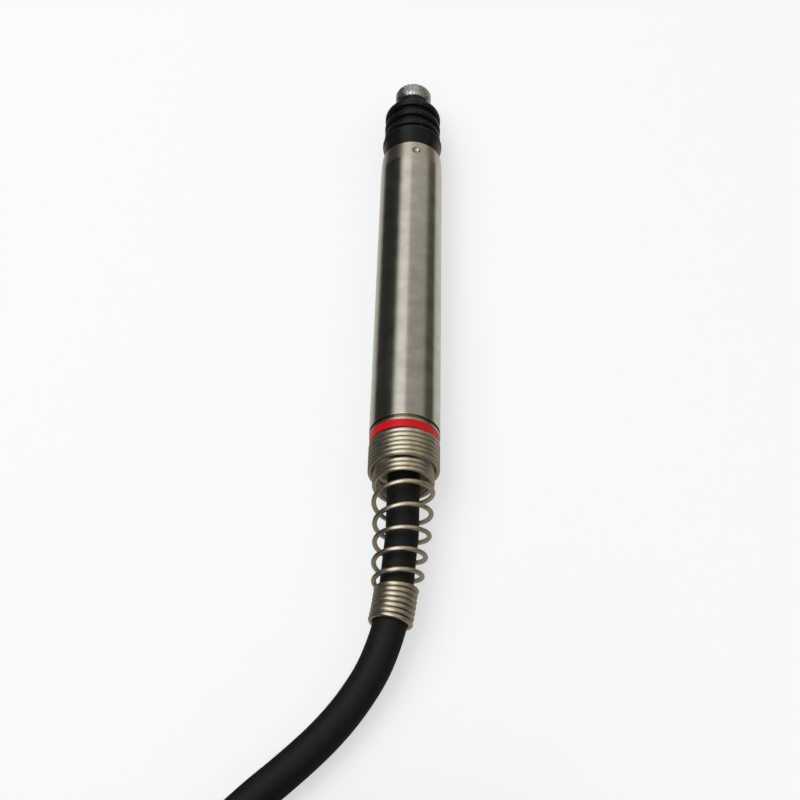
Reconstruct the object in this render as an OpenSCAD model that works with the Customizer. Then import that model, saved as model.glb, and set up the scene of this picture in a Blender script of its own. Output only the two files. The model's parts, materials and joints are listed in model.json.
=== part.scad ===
// Pencil gauging probe with a linear variable differential transformer.
// A sprung plunger in a ball guide moves a nickel-iron core through three coils.
// The probe lies on the floor (Z = 0), its axis along Y and its contact point towards +Y.
// Lengths along the axis are measured from the stem's front face, positive towards the tip.

/* [Stem] */
// Outside diameter of the clamping stem
tube_d = 8; // [7.6:0.1:9]
// Wall of the stem tube
tube_wall = 0.5; // [0.4:0.05:0.6]
// Length of the stem tube
tube_len = 44.75; // [42:0.25:60]
// Length of the slightly tapered nose of the tube
nose_len = 2.8; // [2.5:0.1:5]
// How much the tube's radius shrinks along the nose
nose_taper = 0.12; // [0.05:0.01:0.2]
// Chamfer on the tube's front edge
front_chamfer = 0.16; // [0.05:0.01:0.2]
// Chamfer on the tube's rear edge
rear_chamfer = 0.08; // [0.05:0.01:0.15]

/* [Ball guide] */
// Depth of the guide bush in the tube
bush_len = 13; // [12:0.25:16]
// Length of the bush's nose in front of the tube
bush_nose_len = 2.6; // [2.4:0.1:3]
// Step from the tube's bore down to the bush's nose
bush_nose_step = 0.6; // [0.4:0.05:0.7]
// Width of the gaiter groove in the bush's nose
groove_w = 0.8; // [0.5:0.1:1]
// Depth of the gaiter groove
groove_depth = 0.35; // [0.2:0.05:0.45]
// Distance of the ball race behind the stem's front face
race_front = 2.9; // [2.6:0.1:3.4]
// Diameter of a bearing ball
ball_d = 0.8; // [0.7:0.05:0.9]
// Rows of balls along the cage
ball_rows = 4; // [2:1:5]
// Balls in one row
balls_per_row = 6; // [4:1:7]
// Spacing of the rows of balls
ball_pitch = 1.4; // [1.2:0.1:1.5]
// Room in front of the ball cage
cage_lead = 1.3; // [0.6:0.1:1.6]
// Distance of the guide pin behind the stem's front face
pin_back = 1.7; // [1.4:0.1:1.8]
// Turn of the guide pin from the top, towards +X
pin_turn = 8; // [0:1:30]
// Diameter of the guide pin
pin_d = 1.1; // [0.9:0.05:1.2]
// Depth of the guide pin's rim under the stem's surface
pin_sink = 0.06; // [0.04:0.01:0.2]
// Depth of the hollow in the guide pin's end
dish_depth = 0.2; // [0.1:0.02:0.3]
// Diameter of the pin's key in the plunger slot
key_d = 0.8; // [0.6:0.05:0.9]

/* [Plunger] */
// Diameter of the plunger
plunger_d = 3; // [2.8:0.05:3.1]
// Full travel of the plunger
travel = 3; // [2:0.1:3.2]
// Reach of the plunger in front of the stem
plunger_reach = 11.7; // [11:0.1:13]
// Length of the plunger behind its stop ring
plunger_tail = 1.9; // [1.5:0.1:2.2]
// Depth of the key slot in the plunger
slot_depth = 0.5; // [0.35:0.05:0.6]
// Thickness of the stop ring
stop_t = 0.8; // [0.6:0.05:1]
// Height of the stop ring above the plunger
stop_rise = 1.25; // [1.05:0.05:1.4]
// Length of the return spring with the plunger out
spring_len = 5.9; // [5.8:0.1:7]
// Wire of the return spring
spring_wire = 0.3; // [0.2:0.02:0.34]
// Turns of the return spring
spring_turns = 6; // [4:1:7]

/* [Contact point] */
// Diameter of the knurled head
head_d = 4.9; // [4.4:0.1:5.4]
// Length of the knurled head
head_len = 2; // [1.3:0.1:2.5]
// Chamfer at both ends of the head
head_chamfer = 0.15; // [0.05:0.05:0.3]
// Diameter of the threaded stud
stud_d = 2.4; // [2:0.05:2.5]
// Length of the threaded stud
stud_len = 3.8; // [3:0.1:4.5]
// Diameter of the contact ball
contact_d = 2.8; // [2:0.1:3]
// Reach of the ball holder in front of the head
holder_len = 0.5; // [0.4:0.05:1]

/* [Gaiter] */
// Radius of the gaiter's front collar
collar_r = 2.2; // [2.1:0.05:2.4]
// Length of the front collar
collar_len = 1.9; // [1.5:0.1:2]
// How far the ribs stay below the stem's radius
rib_inset = 0.25; // [0.2:0.05:0.5]
// Depth of the valleys between the ribs
valley_depth = 0.7; // [0.5:0.05:0.8]
// Number of ribs in front of the base
rib_count = 3; // [2:1:3]
// Spacing of the ribs
rib_pitch = 1.93; // [1.8:0.01:2]
// Width of a rib's crest
rib_w = 0.95; // [0.7:0.05:1.1]
// Wall of the gaiter
gaiter_wall = 0.4; // [0.25:0.05:0.45]
// Length of the flared base
base_len = 3.35; // [3.2:0.05:3.6]
// How far the base's rim stays below the stem's radius
base_inset = 0.08; // [0.05:0.01:0.2]
// Taper of the base from its rim down to the stem
base_taper = 0.42; // [0.2:0.02:0.5]

/* [Transformer] */
// Thickness of the spring seat
seat_t = 1; // [0.7:0.05:1.4]
// Thickness of a bobbin flange
flange_t = 0.7; // [0.5:0.05:0.9]
// Diameter of the nickel-iron core
core_d = 2.2; // [1.8:0.05:2.3]
// Length of the core
core_len = 8; // [6:0.25:9]
// Diameter of the core rod
rod_d = 1.2; // [1:0.05:1.3]
// Free gap round the core in the bobbin
core_gap = 0.25; // [0.2:0.01:0.3]
// Wall of the bobbin
bobbin_wall = 0.3; // [0.2:0.02:0.4]
// Wall of the magnetic shield
shield_wall = 0.35; // [0.2:0.05:0.4]
// Thickness of the terminal board
board_t = 0.8; // [0.6:0.05:1]
// Distance of the solder pins from the axis
solder_r = 1.2; // [1.1:0.05:1.35]
// Diameter of a solder pin
solder_d = 0.44; // [0.35:0.02:0.5]
// Number of cable cores
cores = 5; // [3:1:5]

/* [Rear end] */
// Length of the rear housing's spigot in the tube
spigot_len = 3.75; // [3.5:0.05:4.5]
// Width of the dark groove between the tube and the land
neck_w = 0.4; // [0.15:0.01:0.5]
// Depth of that groove
neck_depth = 0.3; // [0.15:0.01:0.4]
// Width of the land behind the groove
land_w = 0.42; // [0.35:0.01:1]
// Bevel on the land's edges
land_bevel = 0.12; // [0.05:0.01:0.15]
// Width of the red marking ring
ring_w = 0.71; // [0.6:0.01:1.2]
// How far the ring stays below the stem's radius
ring_inset = 0.07; // [0:0.01:0.15]
// Section of the O-ring
oring_d = 0.54; // [0.44:0.02:0.56]
// Length of the crimp ferrule on the cable
ferrule_len = 2; // [1.5:0.1:2.2]
// Wall of the crimp ferrule
ferrule_wall = 0.4; // [0.3:0.05:0.5]

/* [Strain-relief spring] */
// Wire of the strain-relief spring
wire_d = 0.53; // [0.46:0.01:0.58]
// Close coils as wide as the stem
head_turns = 6; // [4:1:8]
// Close coils behind them, smaller
neck_turns = 3; // [2:1:4]
// Open coils
open_turns = 5; // [4:1:6]
// Close coils that grip the cable
tail_turns = 7; // [5:1:8]
// Outside diameter of the smaller close coils
neck_d = 7.2; // [6.8:0.05:7.4]
// Outside diameter where the open coils end
open_end_d = 5.55; // [5:0.05:5.8]
// Gap between close coils
coil_gap = 0.06; // [0.02:0.01:0.08]
// Gap between the coils that grip the cable
tail_gap = 0.04; // [0.02:0.01:0.08]
// Pitch of the first open coil
pitch_wide = 2.8; // [2.4:0.05:3]
// Pitch of the last open coil
pitch_narrow = 2.1; // [1.8:0.05:2.4]

/* [Cable and plug] */
// Diameter of the cable
cable_d = 3.6; // [3.2:0.05:3.7]
// Straight run of the hank between its two folds
hank_run = 32; // [28:0.5:40]
// Turns beside each other in the hank
hank_columns = 3; // [2:1:3]
// Layers of turns in the hank
hank_layers = 4; // [3:1:5]
// Thickness of the tie round the hank
tie_t = 0.4; // [0.3:0.05:0.4]
// Width of the tie
tie_w = 5; // [3:0.5:8]
// Outside diameter of the plug's grip
grip_d = 14.4; // [14:0.1:16]
// Length of the plug's grip
grip_len = 16; // [15:0.5:20]
// Outside diameter of the plug's shell
shell_d = 13.2; // [12.8:0.1:13.6]
// Length of the plug's shell
shell_len = 11; // [10:0.5:13]
// Wall of the plug's shell
shell_wall = 0.5; // [0.4:0.05:0.7]
// Length of the plug's bend relief
boot_len = 12; // [10:0.5:16]
// Diameter of a contact pin
contact_pin_d = 1.45; // [1.2:0.05:1.6]
// Distance of the contact pins from the plug's axis
contact_pin_r = 3.5; // [3:0.1:3.6]

/* [Hidden] */
$fn = 64;

// Clearances: pressed or glued, running, and free
fit_gap = 0.02;
run_gap = 0.01;
free_gap = 0.25;
cut = 0.5;

// Stem and guide
tube_r = tube_d / 2;
bore_r = tube_r - tube_wall;
bush_r = bore_r - fit_gap;
bush_nose_r = bore_r - bush_nose_step;
groove_front = bush_nose_len / 2 + groove_w / 2;
plunger_r = plunger_d / 2;
race_r = plunger_r + ball_d + 2 * run_gap;
cage_in_r = plunger_r + 0.15 * ball_d;
cage_out_r = race_r - 0.15 * ball_d;
cage_front = -race_front - cage_lead;
cage_margin = 0.9;
cage_len = (ball_rows - 1) * ball_pitch + 2 * cage_margin;

// Guide pin and key slot
pin_r = pin_d / 2;
key_r = key_d / 2;
pin_head_r = tube_r - nose_taper * (nose_len - pin_back) / nose_len - pin_sink;
key_floor = 0.15;
slot_end = key_r + 0.3;

// Plunger stack behind the bush
stop_front = -bush_len - 0.05;
stop_rear = stop_front - stop_t;
stop_groove_r = plunger_r - 0.3;
stop_r = plunger_r + stop_rise;
plunger_rear = stop_rear - plunger_tail;
seat_front = stop_rear - spring_len;
seat_rear = seat_front - seat_t;
seat_boss = 0.4;
return_mean_r = stop_r - spring_wire / 2 - 0.15;
stud_hole_r = stud_d / 2 + fit_gap;
rod_r = rod_d / 2;
rod_seat = 2.5;

// Contact point
head_front = plunger_reach + 0.05 + head_len;
holder_r = contact_d / 2 + 0.25;
ball_center = head_front + holder_len + 0.1;
tip_front = ball_center + contact_d / 2;

// Gaiter
rib_r = tube_r - rib_inset;
valley_r = rib_r - valley_depth;
rib_round = 0.3;
first_rib = base_len + rib_pitch - rib_w / 2 - 0.25;
gaiter_front = plunger_reach - fit_gap;
base_r = tube_r - base_inset;
fold_in_r = valley_r - gaiter_wall;
bead_r = bush_nose_r - groove_depth + fit_gap;

// Rear housing
tube_rear = -tube_len;
house_front = tube_rear + spigot_len;
board_gap = 0.6;
board_rear = house_front + board_gap;
board_front = board_rear + board_t;
land_front = tube_rear - neck_w;
land_rear = land_front - land_w;
ring_rear = land_rear - ring_w;
coil_pitch = wire_d + coil_gap;
tail_pitch = wire_d + tail_gap;
coil_steps = 16;
seat_coil_r = (tube_r - wire_d) * cos(180 / coil_steps) - fit_gap;
house_rear = ring_rear - head_turns * coil_pitch;
cable_r = cable_d / 2;
cable_bore_r = cable_r + 0.05;
cavity_r = cable_r + fit_gap + ferrule_wall + 0.25;
cavity_rear = tube_rear - 0.25;
ferrule_front = cavity_rear + ferrule_len;
cable_front = ferrule_front + 0.4;
wire_tail_gap = 0.85;
oring_mid = house_front - spigot_len * 0.55;
oring_root_r = bore_r - oring_d - fit_gap;

// Transformer between the spring seat and the terminal board
bobbin_len = seat_rear - board_front;
winding_len = (bobbin_len - 4 * flange_t) / 3;
bobbin_in_r = core_d / 2 + core_gap;
bobbin_out_r = bobbin_in_r + bobbin_wall;
shield_out_r = bore_r - 2 * fit_gap;
flange_r = shield_out_r - shield_wall - fit_gap;
winding_r = flange_r - 0.2;
core_mid = (seat_rear + board_front) / 2 + travel / 2;
core_front = core_mid + core_len / 2;
core_rear = core_mid - core_len / 2;

// The probe's middle is over the origin, and the stem rests on the floor
axis_y = -(tip_front + house_rear) / 2;
axis_z = tube_r;

// Strain-relief spring: turns at which its form changes, and radii of its wire's centre
wire_r = wire_d / 2;
start_angle = -60;
step_turns = 0.5;
close_end = head_turns + neck_turns - 0.4;
open_start = close_end + 0.6;
open_end = open_start + open_turns - 0.7;
grip_start = open_end + 0.8;
last_turn = grip_start + tail_turns - 0.4;
head_coil_r = tube_r - wire_r;
neck_coil_r = neck_d / 2 - wire_r;
open_coil_r = open_end_d / 2 - wire_r;
grip_coil_r = cable_r + wire_r + 0.05;
wire_sides = 8;
pitch_marks = [[0, coil_pitch], [close_end, coil_pitch], [open_start, pitch_wide], [open_end, pitch_narrow],
  [grip_start, tail_pitch], [last_turn, tail_pitch]];
radius_marks = [[0, head_coil_r], [head_turns, head_coil_r], [head_turns + step_turns, neck_coil_r],
  [close_end, neck_coil_r], [open_end, open_coil_r], [grip_start, grip_coil_r], [last_turn, grip_coil_r]];

// Route of the free cable behind the housing: right of the axis, along it, above it
route = [
  [0, cable_front - house_rear, 0], [0, 4, 0], [0, 0, 0], [0, -3, 0], [0, -5.5, 0], [0, -8, -0.1],
  [-0.2, -10.5, -0.3], [-0.38, -13, -0.5], [-0.6, -15.5, -0.8], [-0.98, -18, -1.1], [-1.65, -20.5, -1.4],
  [-2.58, -23, -1.7], [-3.8, -25.3, -1.95], [-5.28, -27.6, -2.1], [-7, -29.8, -2.2], [-8.9, -31.9, -2.2],
  [-11, -34, -2.2], [-13.3, -36.2, -2.2], [-15.7, -38.8, -2.2], [-17.7, -41.8, -2.2],
  [-19.2, -45.2, -2.2], [-20.2, -49, -2.2], [-20.8, -53, -2.1], [-21.1, -57, -2], [-21.2, -60.5, -1.9],
  [-21.2, -64, -1.8]];
cord_sides = 8;

// Hank of the rest of the cable, on the floor behind the route's end
fold_r = 3 * cable_d;
hank_r = fold_r + (hank_columns - 1) * cable_d;
hank_edge_r = hank_r + cable_r;
hank_z = tie_t;
hank_h = hank_layers * cable_d;
hank_top = hank_z + hank_h;
route_end = route[len(route) - 1];
hank_x = route_end[0] + hank_r;
hank_y = axis_y + house_rear + route_end[1] - hank_run / 2;
tie_back = -10;

// Route from the hank's last turn to the plug: from the hank's middle, above the hank's top
tail_route = [[-18, 16, 1.85], [-18, 8, 2.1], [-18, 0, 2.3], [-18, -8, 2.3], [-18, -16, 2.7],
  [-16, -23.5, 3.4], [-10.5, -29, 4.4], [-3, -31, 5.4], [4.5, -29, 6.3], [10, -23.5, 7], [12, -16, 7.25],
  [12, -12, 7.25], [12, -8, 7.25]];

// Plug lying on the hank
grip_r = grip_d / 2;
shell_r = shell_d / 2;
plug_x = hank_x + 12;
plug_y = hank_y - 16;
plug_z = hank_top + grip_r + 0.05;
grip_rear = boot_len;
grip_front = grip_rear + grip_len;
plug_front = grip_front + shell_len;
grip_wall = 1.6;
grip_bore_r = grip_r - grip_wall;
rear_wall = 1.5;
boot_neck_r = 3.2;
boot_flange_t = 1.2;
shell_neck_len = 6;
shell_neck_r = grip_bore_r - fit_gap;
insert_r = shell_neck_r - shell_wall - fit_gap;
insert_flange_t = 2;
contact_count = 5;
contact_span = 45;

// Lay a turned piece along the probe's axis: local Z runs towards the tip, local -Y is up
module lay() {
  translate([0, axis_y, axis_z]) rotate([-90, 0, 0]) children();
}

// Lay a turned piece along the plug's axis, Z from the bend relief to the mouth
module lay_plug() {
  translate([plug_x, plug_y, plug_z]) rotate([-90, 0, 0]) children();
}

// Solid of revolution from [radius, length] points
module turned(points) {
  rotate_extrude() polygon(points);
}

// Ring between two radii and two lengths
module ring(inner_r, outer_r, rear, front) {
  turned([[inner_r, rear], [outer_r, rear], [outer_r, front], [inner_r, front]]);
}

// Radial cylinder from one distance off the axis to another, turned round from the top
module spoke(turn, along, from_r, to_r, r) {
  rotate([0, 0, turn - 90]) translate([from_r, 0, along]) rotate([0, 90, 0])
    cylinder(h = to_r - from_r, r = r);
}

// Tube of round section along points, with a frame of two normals at each point
module sweep(points, sides_a, sides_b, r, sides) {
  last = len(points) - 1;
  vertices = [for (i = [0:last]) for (k = [0:sides - 1])
    points[i] + r * cos(360 * k / sides) * sides_a[i] + r * sin(360 * k / sides) * sides_b[i]];
  walls = [for (i = [0:last - 1]) for (k = [0:sides - 1]) let (n = (k + 1) % sides)
    [i * sides + k, (i + 1) * sides + k, (i + 1) * sides + n, i * sides + n]];
  first_cap = [for (k = [0:sides - 1]) k];
  last_cap = [for (k = [sides - 1:-1:0]) last * sides + k];
  polyhedron(points = vertices, faces = concat(walls, [first_cap, last_cap]));
}

function unit(v) = v / norm(v);
function heading(points, i) = unit(points[min(i + 1, len(points) - 1)] - points[max(i - 1, 0)]);
function total(list, i = 0) = i < len(list) ? list[i] + total(list, i + 1) : 0;

// Cord along its route's own points
module cord(points) {
  sides_a = [for (i = [0:len(points) - 1]) unit(cross([0, 0, 1], heading(points, i)))];
  sides_b = [for (i = [0:len(points) - 1]) cross(heading(points, i), sides_a[i])];
  sweep(points, sides_a, sides_b, cable_r, cord_sides);
}

// Round wire along a coil's points, with the directions that point away from the coil's axis
module coil_wire(points, outward, r) {
  sides_a = [for (i = [0:len(points) - 1])
    let (t = heading(points, i)) unit(outward[i] - (outward[i] * t) * t)];
  sides_b = [for (i = [0:len(points) - 1]) cross(heading(points, i), sides_a[i])];
  sweep(points, sides_a, sides_b, r, wire_sides);
}

// Middle of the cable at a distance behind the housing, and its direction there
function route_at(back) = [
  lookup(-back, [for (p = route) [-p[1], p[0]]]),
  back,
  lookup(-back, [for (p = route) [-p[1], p[2]]])];
function route_along(back) = unit(route_at(back - 0.5) - route_at(back + 0.5));

// Length of spring that the first turns take: the pitch runs straight from each mark to the next
function mark_length(i, turn) =
  let (from = pitch_marks[i], to = pitch_marks[i + 1], span = to[0] - from[0])
  let (u = max(0, min(turn, to[0]) - from[0]))
  from[1] * u + (to[1] - from[1]) * u * u / (2 * span);
function spring_length(turn) = total([for (i = [0:len(pitch_marks) - 2]) mark_length(i, turn)]);

// Direction from the spring's axis to its wire, at a turn and a distance behind the housing
function spring_outward(turn, back) =
  let (ahead = route_along(back), right = unit(cross([0, 0, 1], ahead)), up = cross(ahead, right))
  let (angle = start_angle + 360 * turn)
  cos(angle) * right + sin(angle) * up;

// Outside of the gaiter's section, from the stem to the collar: flared base, ribs and shoulder
function rib_rear(i) = first_rib + i * rib_pitch - rib_w / 2;
function rib_front(i) = first_rib + i * rib_pitch + rib_w / 2;
function gaiter_outside() = concat(
  [[base_r - base_taper, fit_gap], [base_r, base_len - rib_round], [base_r - rib_round, base_len],
    [valley_r, base_len]],
  [for (i = [0:rib_count - 1]) each [
    [valley_r, rib_rear(i)], [rib_r - rib_round, rib_rear(i)], [rib_r, rib_rear(i) + rib_round],
    [rib_r, rib_front(i) - rib_round], [rib_r - rib_round, rib_front(i)],
    i < rib_count - 1 ? [valley_r, rib_front(i)] : [collar_r, gaiter_front - collar_len]]],
  [[collar_r, gaiter_front]]);

// Inside of the gaiter's section, from the collar to the stem: bore, folds, and bead in the bush
function gaiter_inside() = concat(
  [[plunger_r + fit_gap, gaiter_front], [plunger_r + fit_gap, gaiter_front - collar_len]],
  [for (i = [rib_count - 1:-1:0]) each [
    [fold_in_r, rib_front(i) - gaiter_wall / 2], [rib_r - gaiter_wall, rib_front(i) - gaiter_wall],
    [rib_r - gaiter_wall, rib_rear(i) + gaiter_wall], [fold_in_r, rib_rear(i) + gaiter_wall / 2]]],
  [[fold_in_r, bush_nose_len + fit_gap], [bush_nose_r + fit_gap, bush_nose_len + fit_gap],
    [bush_nose_r + fit_gap, groove_front - fit_gap], [bead_r, groove_front - fit_gap],
    [bead_r, groove_front - groove_w + fit_gap], [bush_nose_r + fit_gap, groove_front - groove_w + fit_gap],
    [bush_nose_r + fit_gap, fit_gap]]);

module body_tube() {
  nose_r = tube_r - nose_taper;
  color("lightgray") lay() difference() {
    turned([[bore_r, tube_rear], [tube_r - rear_chamfer, tube_rear], [tube_r, tube_rear + rear_chamfer],
      [tube_r, -nose_len], [nose_r, -front_chamfer], [nose_r - front_chamfer, 0], [bore_r, 0]]);
    spoke(pin_turn, -pin_back, bore_r - cut, tube_r + cut, pin_r + fit_gap);
  }
}

module front_bush() {
  nose_root_r = bush_nose_r - groove_depth;
  hole_r = plunger_r + free_gap;
  color("silver") lay() difference() {
    turned([[hole_r, -race_front], [race_r, -race_front], [race_r, -bush_len], [bush_r, -bush_len],
      [bush_r, 0], [bush_nose_r, 0], [bush_nose_r, groove_front - groove_w],
      [nose_root_r, groove_front - groove_w],
      [nose_root_r, groove_front], [bush_nose_r, groove_front], [bush_nose_r, bush_nose_len],
      [hole_r, bush_nose_len]]);
    spoke(pin_turn, -pin_back, plunger_r, tube_r, pin_r + fit_gap);
  }
}

module guide_pin() {
  dish_r = (pin_r * pin_r + dish_depth * dish_depth) / (2 * dish_depth);
  color("gainsboro") lay() difference() {
    union() {
      spoke(pin_turn, -pin_back, plunger_r + free_gap, pin_head_r, pin_r);
      spoke(pin_turn, -pin_back, plunger_r - slot_depth + key_floor, plunger_r + free_gap, key_r);
    }
    rotate([0, 0, pin_turn - 90]) translate([pin_head_r - dish_depth + dish_r, 0, -pin_back]) sphere(dish_r);
  }
}

// Radial holes or balls, one for each ball of the guide
module each_ball() {
  for (row = [0:ball_rows - 1], i = [0:balls_per_row - 1])
    rotate([0, 0, 360 * (i + row / 2) / balls_per_row])
      translate([plunger_r + run_gap + ball_d / 2, 0, cage_front - cage_margin - row * ball_pitch])
        children();
}

module ball_cage() {
  color("goldenrod") lay() difference() {
    ring(cage_in_r, cage_out_r, cage_front - cage_len, cage_front);
    each_ball() rotate([0, 90, 0]) cylinder(h = 2 * ball_d, r = ball_d / 2 + 2 * fit_gap, center = true);
  }
}

module bearing_balls() {
  color("whitesmoke") lay() each_ball() sphere(d = ball_d);
}

module plunger() {
  slot_rear = -pin_back - slot_end;
  slot_len = travel + 2 * slot_end;
  color("silver") lay() difference() {
    translate([0, 0, plunger_rear]) cylinder(h = plunger_reach - plunger_rear, r = plunger_r);
    translate([0, 0, plunger_reach - stud_len - cut]) cylinder(h = stud_len + 2 * cut, r = stud_hole_r);
    translate([0, 0, plunger_rear - cut]) cylinder(h = rod_seat + cut, r = rod_r + fit_gap);
    ring(stop_groove_r, plunger_r + cut, stop_rear - fit_gap, stop_front + fit_gap);
    rotate([0, 0, pin_turn - 90]) translate([plunger_r - slot_depth, -key_r - 0.05, slot_rear])
      cube([slot_depth + cut, key_d + 0.1, slot_len]);
  }
}

module stop_ring() {
  mouth = 2 * stop_groove_r * 0.8;
  color("dimgray") lay() difference() {
    ring(stop_groove_r + fit_gap, stop_r, stop_rear, stop_front);
    translate([0, -mouth / 2, stop_rear - cut]) cube([stop_r + cut, mouth, stop_t + 2 * cut]);
  }
}

module return_spring() {
  close = spring_wire + fit_gap;
  reach = spring_len - spring_wire - 2 * fit_gap;
  marks = [[0, 0], [1, close], [spring_turns - 1, reach - close], [spring_turns, reach]];
  turns = [for (i = [0:spring_turns * coil_steps]) i / coil_steps];
  outward = [for (t = turns) [cos(360 * t), sin(360 * t), 0]];
  front = stop_rear - spring_wire / 2 - fit_gap;
  points = [for (i = [0:len(turns) - 1])
    return_mean_r * outward[i] + [0, 0, front - lookup(turns[i], marks)]];
  color("lightsteelblue") lay() coil_wire(points, outward, spring_wire / 2);
}

module contact_tip() {
  seat = plunger_reach + 0.05;
  color("silver") lay() difference() {
    turned([[0, seat - stud_len], [stud_d / 2, seat - stud_len], [stud_d / 2, seat],
      [head_d / 2 - head_chamfer, seat], [head_d / 2, seat + head_chamfer],
      [head_d / 2, head_front - head_chamfer],
      [head_d / 2 - head_chamfer, head_front], [holder_r + head_chamfer, head_front],
      [holder_r - head_chamfer, head_front + holder_len], [0, head_front + holder_len]]);
    translate([0, 0, ball_center]) sphere(contact_d / 2 + run_gap);
  }
}

module contact_ball() {
  color("dimgray") lay() translate([0, 0, ball_center]) sphere(d = contact_d);
}

module gaiter() {
  color("#202020") lay() turned(concat(gaiter_outside(), gaiter_inside()));
}

module spring_seat() {
  boss_r = return_mean_r - spring_wire / 2 - 0.15;
  hole_r = rod_r + free_gap;
  color("darkgray") lay() turned([[hole_r, seat_rear], [bush_r, seat_rear], [bush_r, seat_front],
    [boss_r, seat_front], [boss_r, seat_front + seat_boss], [hole_r, seat_front + seat_boss]]);
}

module core_rod() {
  color("lightgray") lay() translate([0, 0, core_front - rod_seat])
    cylinder(h = plunger_rear + 2 * rod_seat - core_front - fit_gap, r = rod_r);
}

module core() {
  color("slategray") lay() difference() {
    translate([0, 0, core_rear]) cylinder(h = core_len, d = core_d);
    translate([0, 0, core_front - rod_seat - fit_gap]) cylinder(h = rod_seat + cut, r = rod_r + fit_gap);
  }
}

// Rear end of a bobbin flange, counted from the front
function flange_rear(i) = seat_rear - flange_t - i * (winding_len + flange_t);

module bobbin() {
  color("tan") lay() union() {
    ring(bobbin_in_r, bobbin_out_r, board_front, seat_rear);
    for (i = [0:3])
      ring(bobbin_out_r - 0.1, flange_r, flange_rear(i), flange_rear(i) + flange_t);
  }
}

// Winding in one of the bobbin's three chambers, counted from the front
module winding(i) {
  front = flange_rear(i) - fit_gap;
  color("#B5651D") lay() ring(bobbin_out_r + fit_gap, winding_r, front - winding_len + 2 * fit_gap, front);
}

module front_secondary_coil() {
  winding(0);
}

module primary_coil() {
  winding(1);
}

module rear_secondary_coil() {
  winding(2);
}

module shield_tube() {
  color("gray") lay() ring(flange_r + fit_gap, shield_out_r, board_front + fit_gap, seat_rear - fit_gap);
}

// One place for each solder pin and cable core
module each_core() {
  for (i = [0:cores - 1])
    rotate([0, 0, 360 * i / cores]) translate([solder_r, 0, 0]) children();
}

module terminal_board() {
  color("seagreen") lay() difference() {
    translate([0, 0, board_rear]) cylinder(h = board_t, r = bush_r);
    each_core() translate([0, 0, board_rear - cut])
      cylinder(h = board_t + 2 * cut, r = solder_d / 2 + run_gap);
  }
}

module solder_pins() {
  color("gold") lay() each_core() translate([0, 0, cable_front + wire_tail_gap])
    cylinder(h = board_front - cable_front - wire_tail_gap, d = solder_d);
}

module core_wires() {
  color("orangered") lay() each_core() translate([0, 0, cable_front])
    cylinder(h = wire_tail_gap, d = solder_d);
}

module rear_housing() {
  groove_half = oring_d / 2 + 0.05;
  nose_bevel = 0.25;
  color("silver") lay() turned([[cable_bore_r, house_rear], [seat_coil_r - nose_bevel, house_rear],
    [seat_coil_r, house_rear + nose_bevel], [seat_coil_r, land_rear], [tube_r - land_bevel, land_rear],
    [tube_r, land_rear + land_bevel], [tube_r, land_front - land_bevel], [tube_r - land_bevel, land_front],
    [tube_r - neck_depth, land_front], [tube_r - neck_depth, tube_rear], [bush_r, tube_rear],
    [bush_r, oring_mid - groove_half], [oring_root_r, oring_mid - groove_half],
    [oring_root_r, oring_mid + groove_half], [bush_r, oring_mid + groove_half], [bush_r, house_front],
    [cavity_r, house_front], [cavity_r, cavity_rear], [cable_bore_r, cavity_rear]]);
}

module o_ring() {
  color("#101010") lay() rotate_extrude()
    translate([bore_r - fit_gap / 2 - oring_d / 2, oring_mid]) circle(d = oring_d);
}

module red_ring() {
  color("#BE2026") lay() ring(seat_coil_r + fit_gap, tube_r - ring_inset, ring_rear, land_rear);
}

module crimp_ferrule() {
  color("goldenrod") lay()
    ring(cable_r + fit_gap, cable_r + fit_gap + ferrule_wall, cavity_rear, cavity_rear + ferrule_len);
}

module strain_spring() {
  front = head_turns * coil_pitch - wire_r - fit_gap;
  turns = [for (i = [0:floor(last_turn * coil_steps)]) i / coil_steps];
  backs = [for (t = turns) front - spring_length(t)];
  outward = [for (i = [0:len(turns) - 1]) spring_outward(turns[i], backs[i])];
  points = [for (i = [0:len(turns) - 1]) route_at(backs[i]) + lookup(turns[i], radius_marks) * outward[i]];
  color("#9A9080") translate([0, axis_y + house_rear, axis_z]) coil_wire(points, outward, wire_r);
}

module cable() {
  color("#1A1A1A") translate([0, axis_y + house_rear, axis_z]) cord(route);
}

// Outline of the hank seen from above, at a distance outside the middle of its innermost turn
module hank_outline(r) {
  square([2 * r, hank_run], center = true);
  for (side = [-1, 1])
    translate([0, side * hank_run / 2]) circle(r);
}

module cable_hank() {
  color("#1A1A1A") translate([hank_x, hank_y, hank_z]) linear_extrude(hank_h) difference() {
    hank_outline(hank_edge_r);
    hank_outline(fold_r - cable_r);
  }
}

module cable_tail() {
  color("#1A1A1A") translate([hank_x, hank_y, hank_top]) cord(tail_route);
}

module hank_tie() {
  inner_w = 2 * hank_edge_r + 2 * fit_gap;
  inner_h = hank_h + fit_gap;
  color("#2A2A2A") translate([hank_x, hank_y + tie_back + tie_w / 2, hank_z + inner_h / 2])
    rotate([90, 0, 0]) linear_extrude(tie_w) difference() {
      square([inner_w + 2 * tie_t, inner_h + 2 * tie_t], center = true);
      square([inner_w, inner_h], center = true);
    }
}

module plug_boot() {
  hole_r = cable_r + fit_gap;
  inner_end = grip_rear + rear_wall + fit_gap;
  flange_out_r = boot_neck_r + 1.2;
  color("#202020") lay_plug() turned([[hole_r, 0], [cable_r + 0.9, 0],
    [boot_neck_r + 1.5, boot_len - fit_gap], [boot_neck_r, boot_len - fit_gap], [boot_neck_r, inner_end],
    [flange_out_r, inner_end], [flange_out_r, inner_end + boot_flange_t],
    [hole_r, inner_end + boot_flange_t]]);
}

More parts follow.
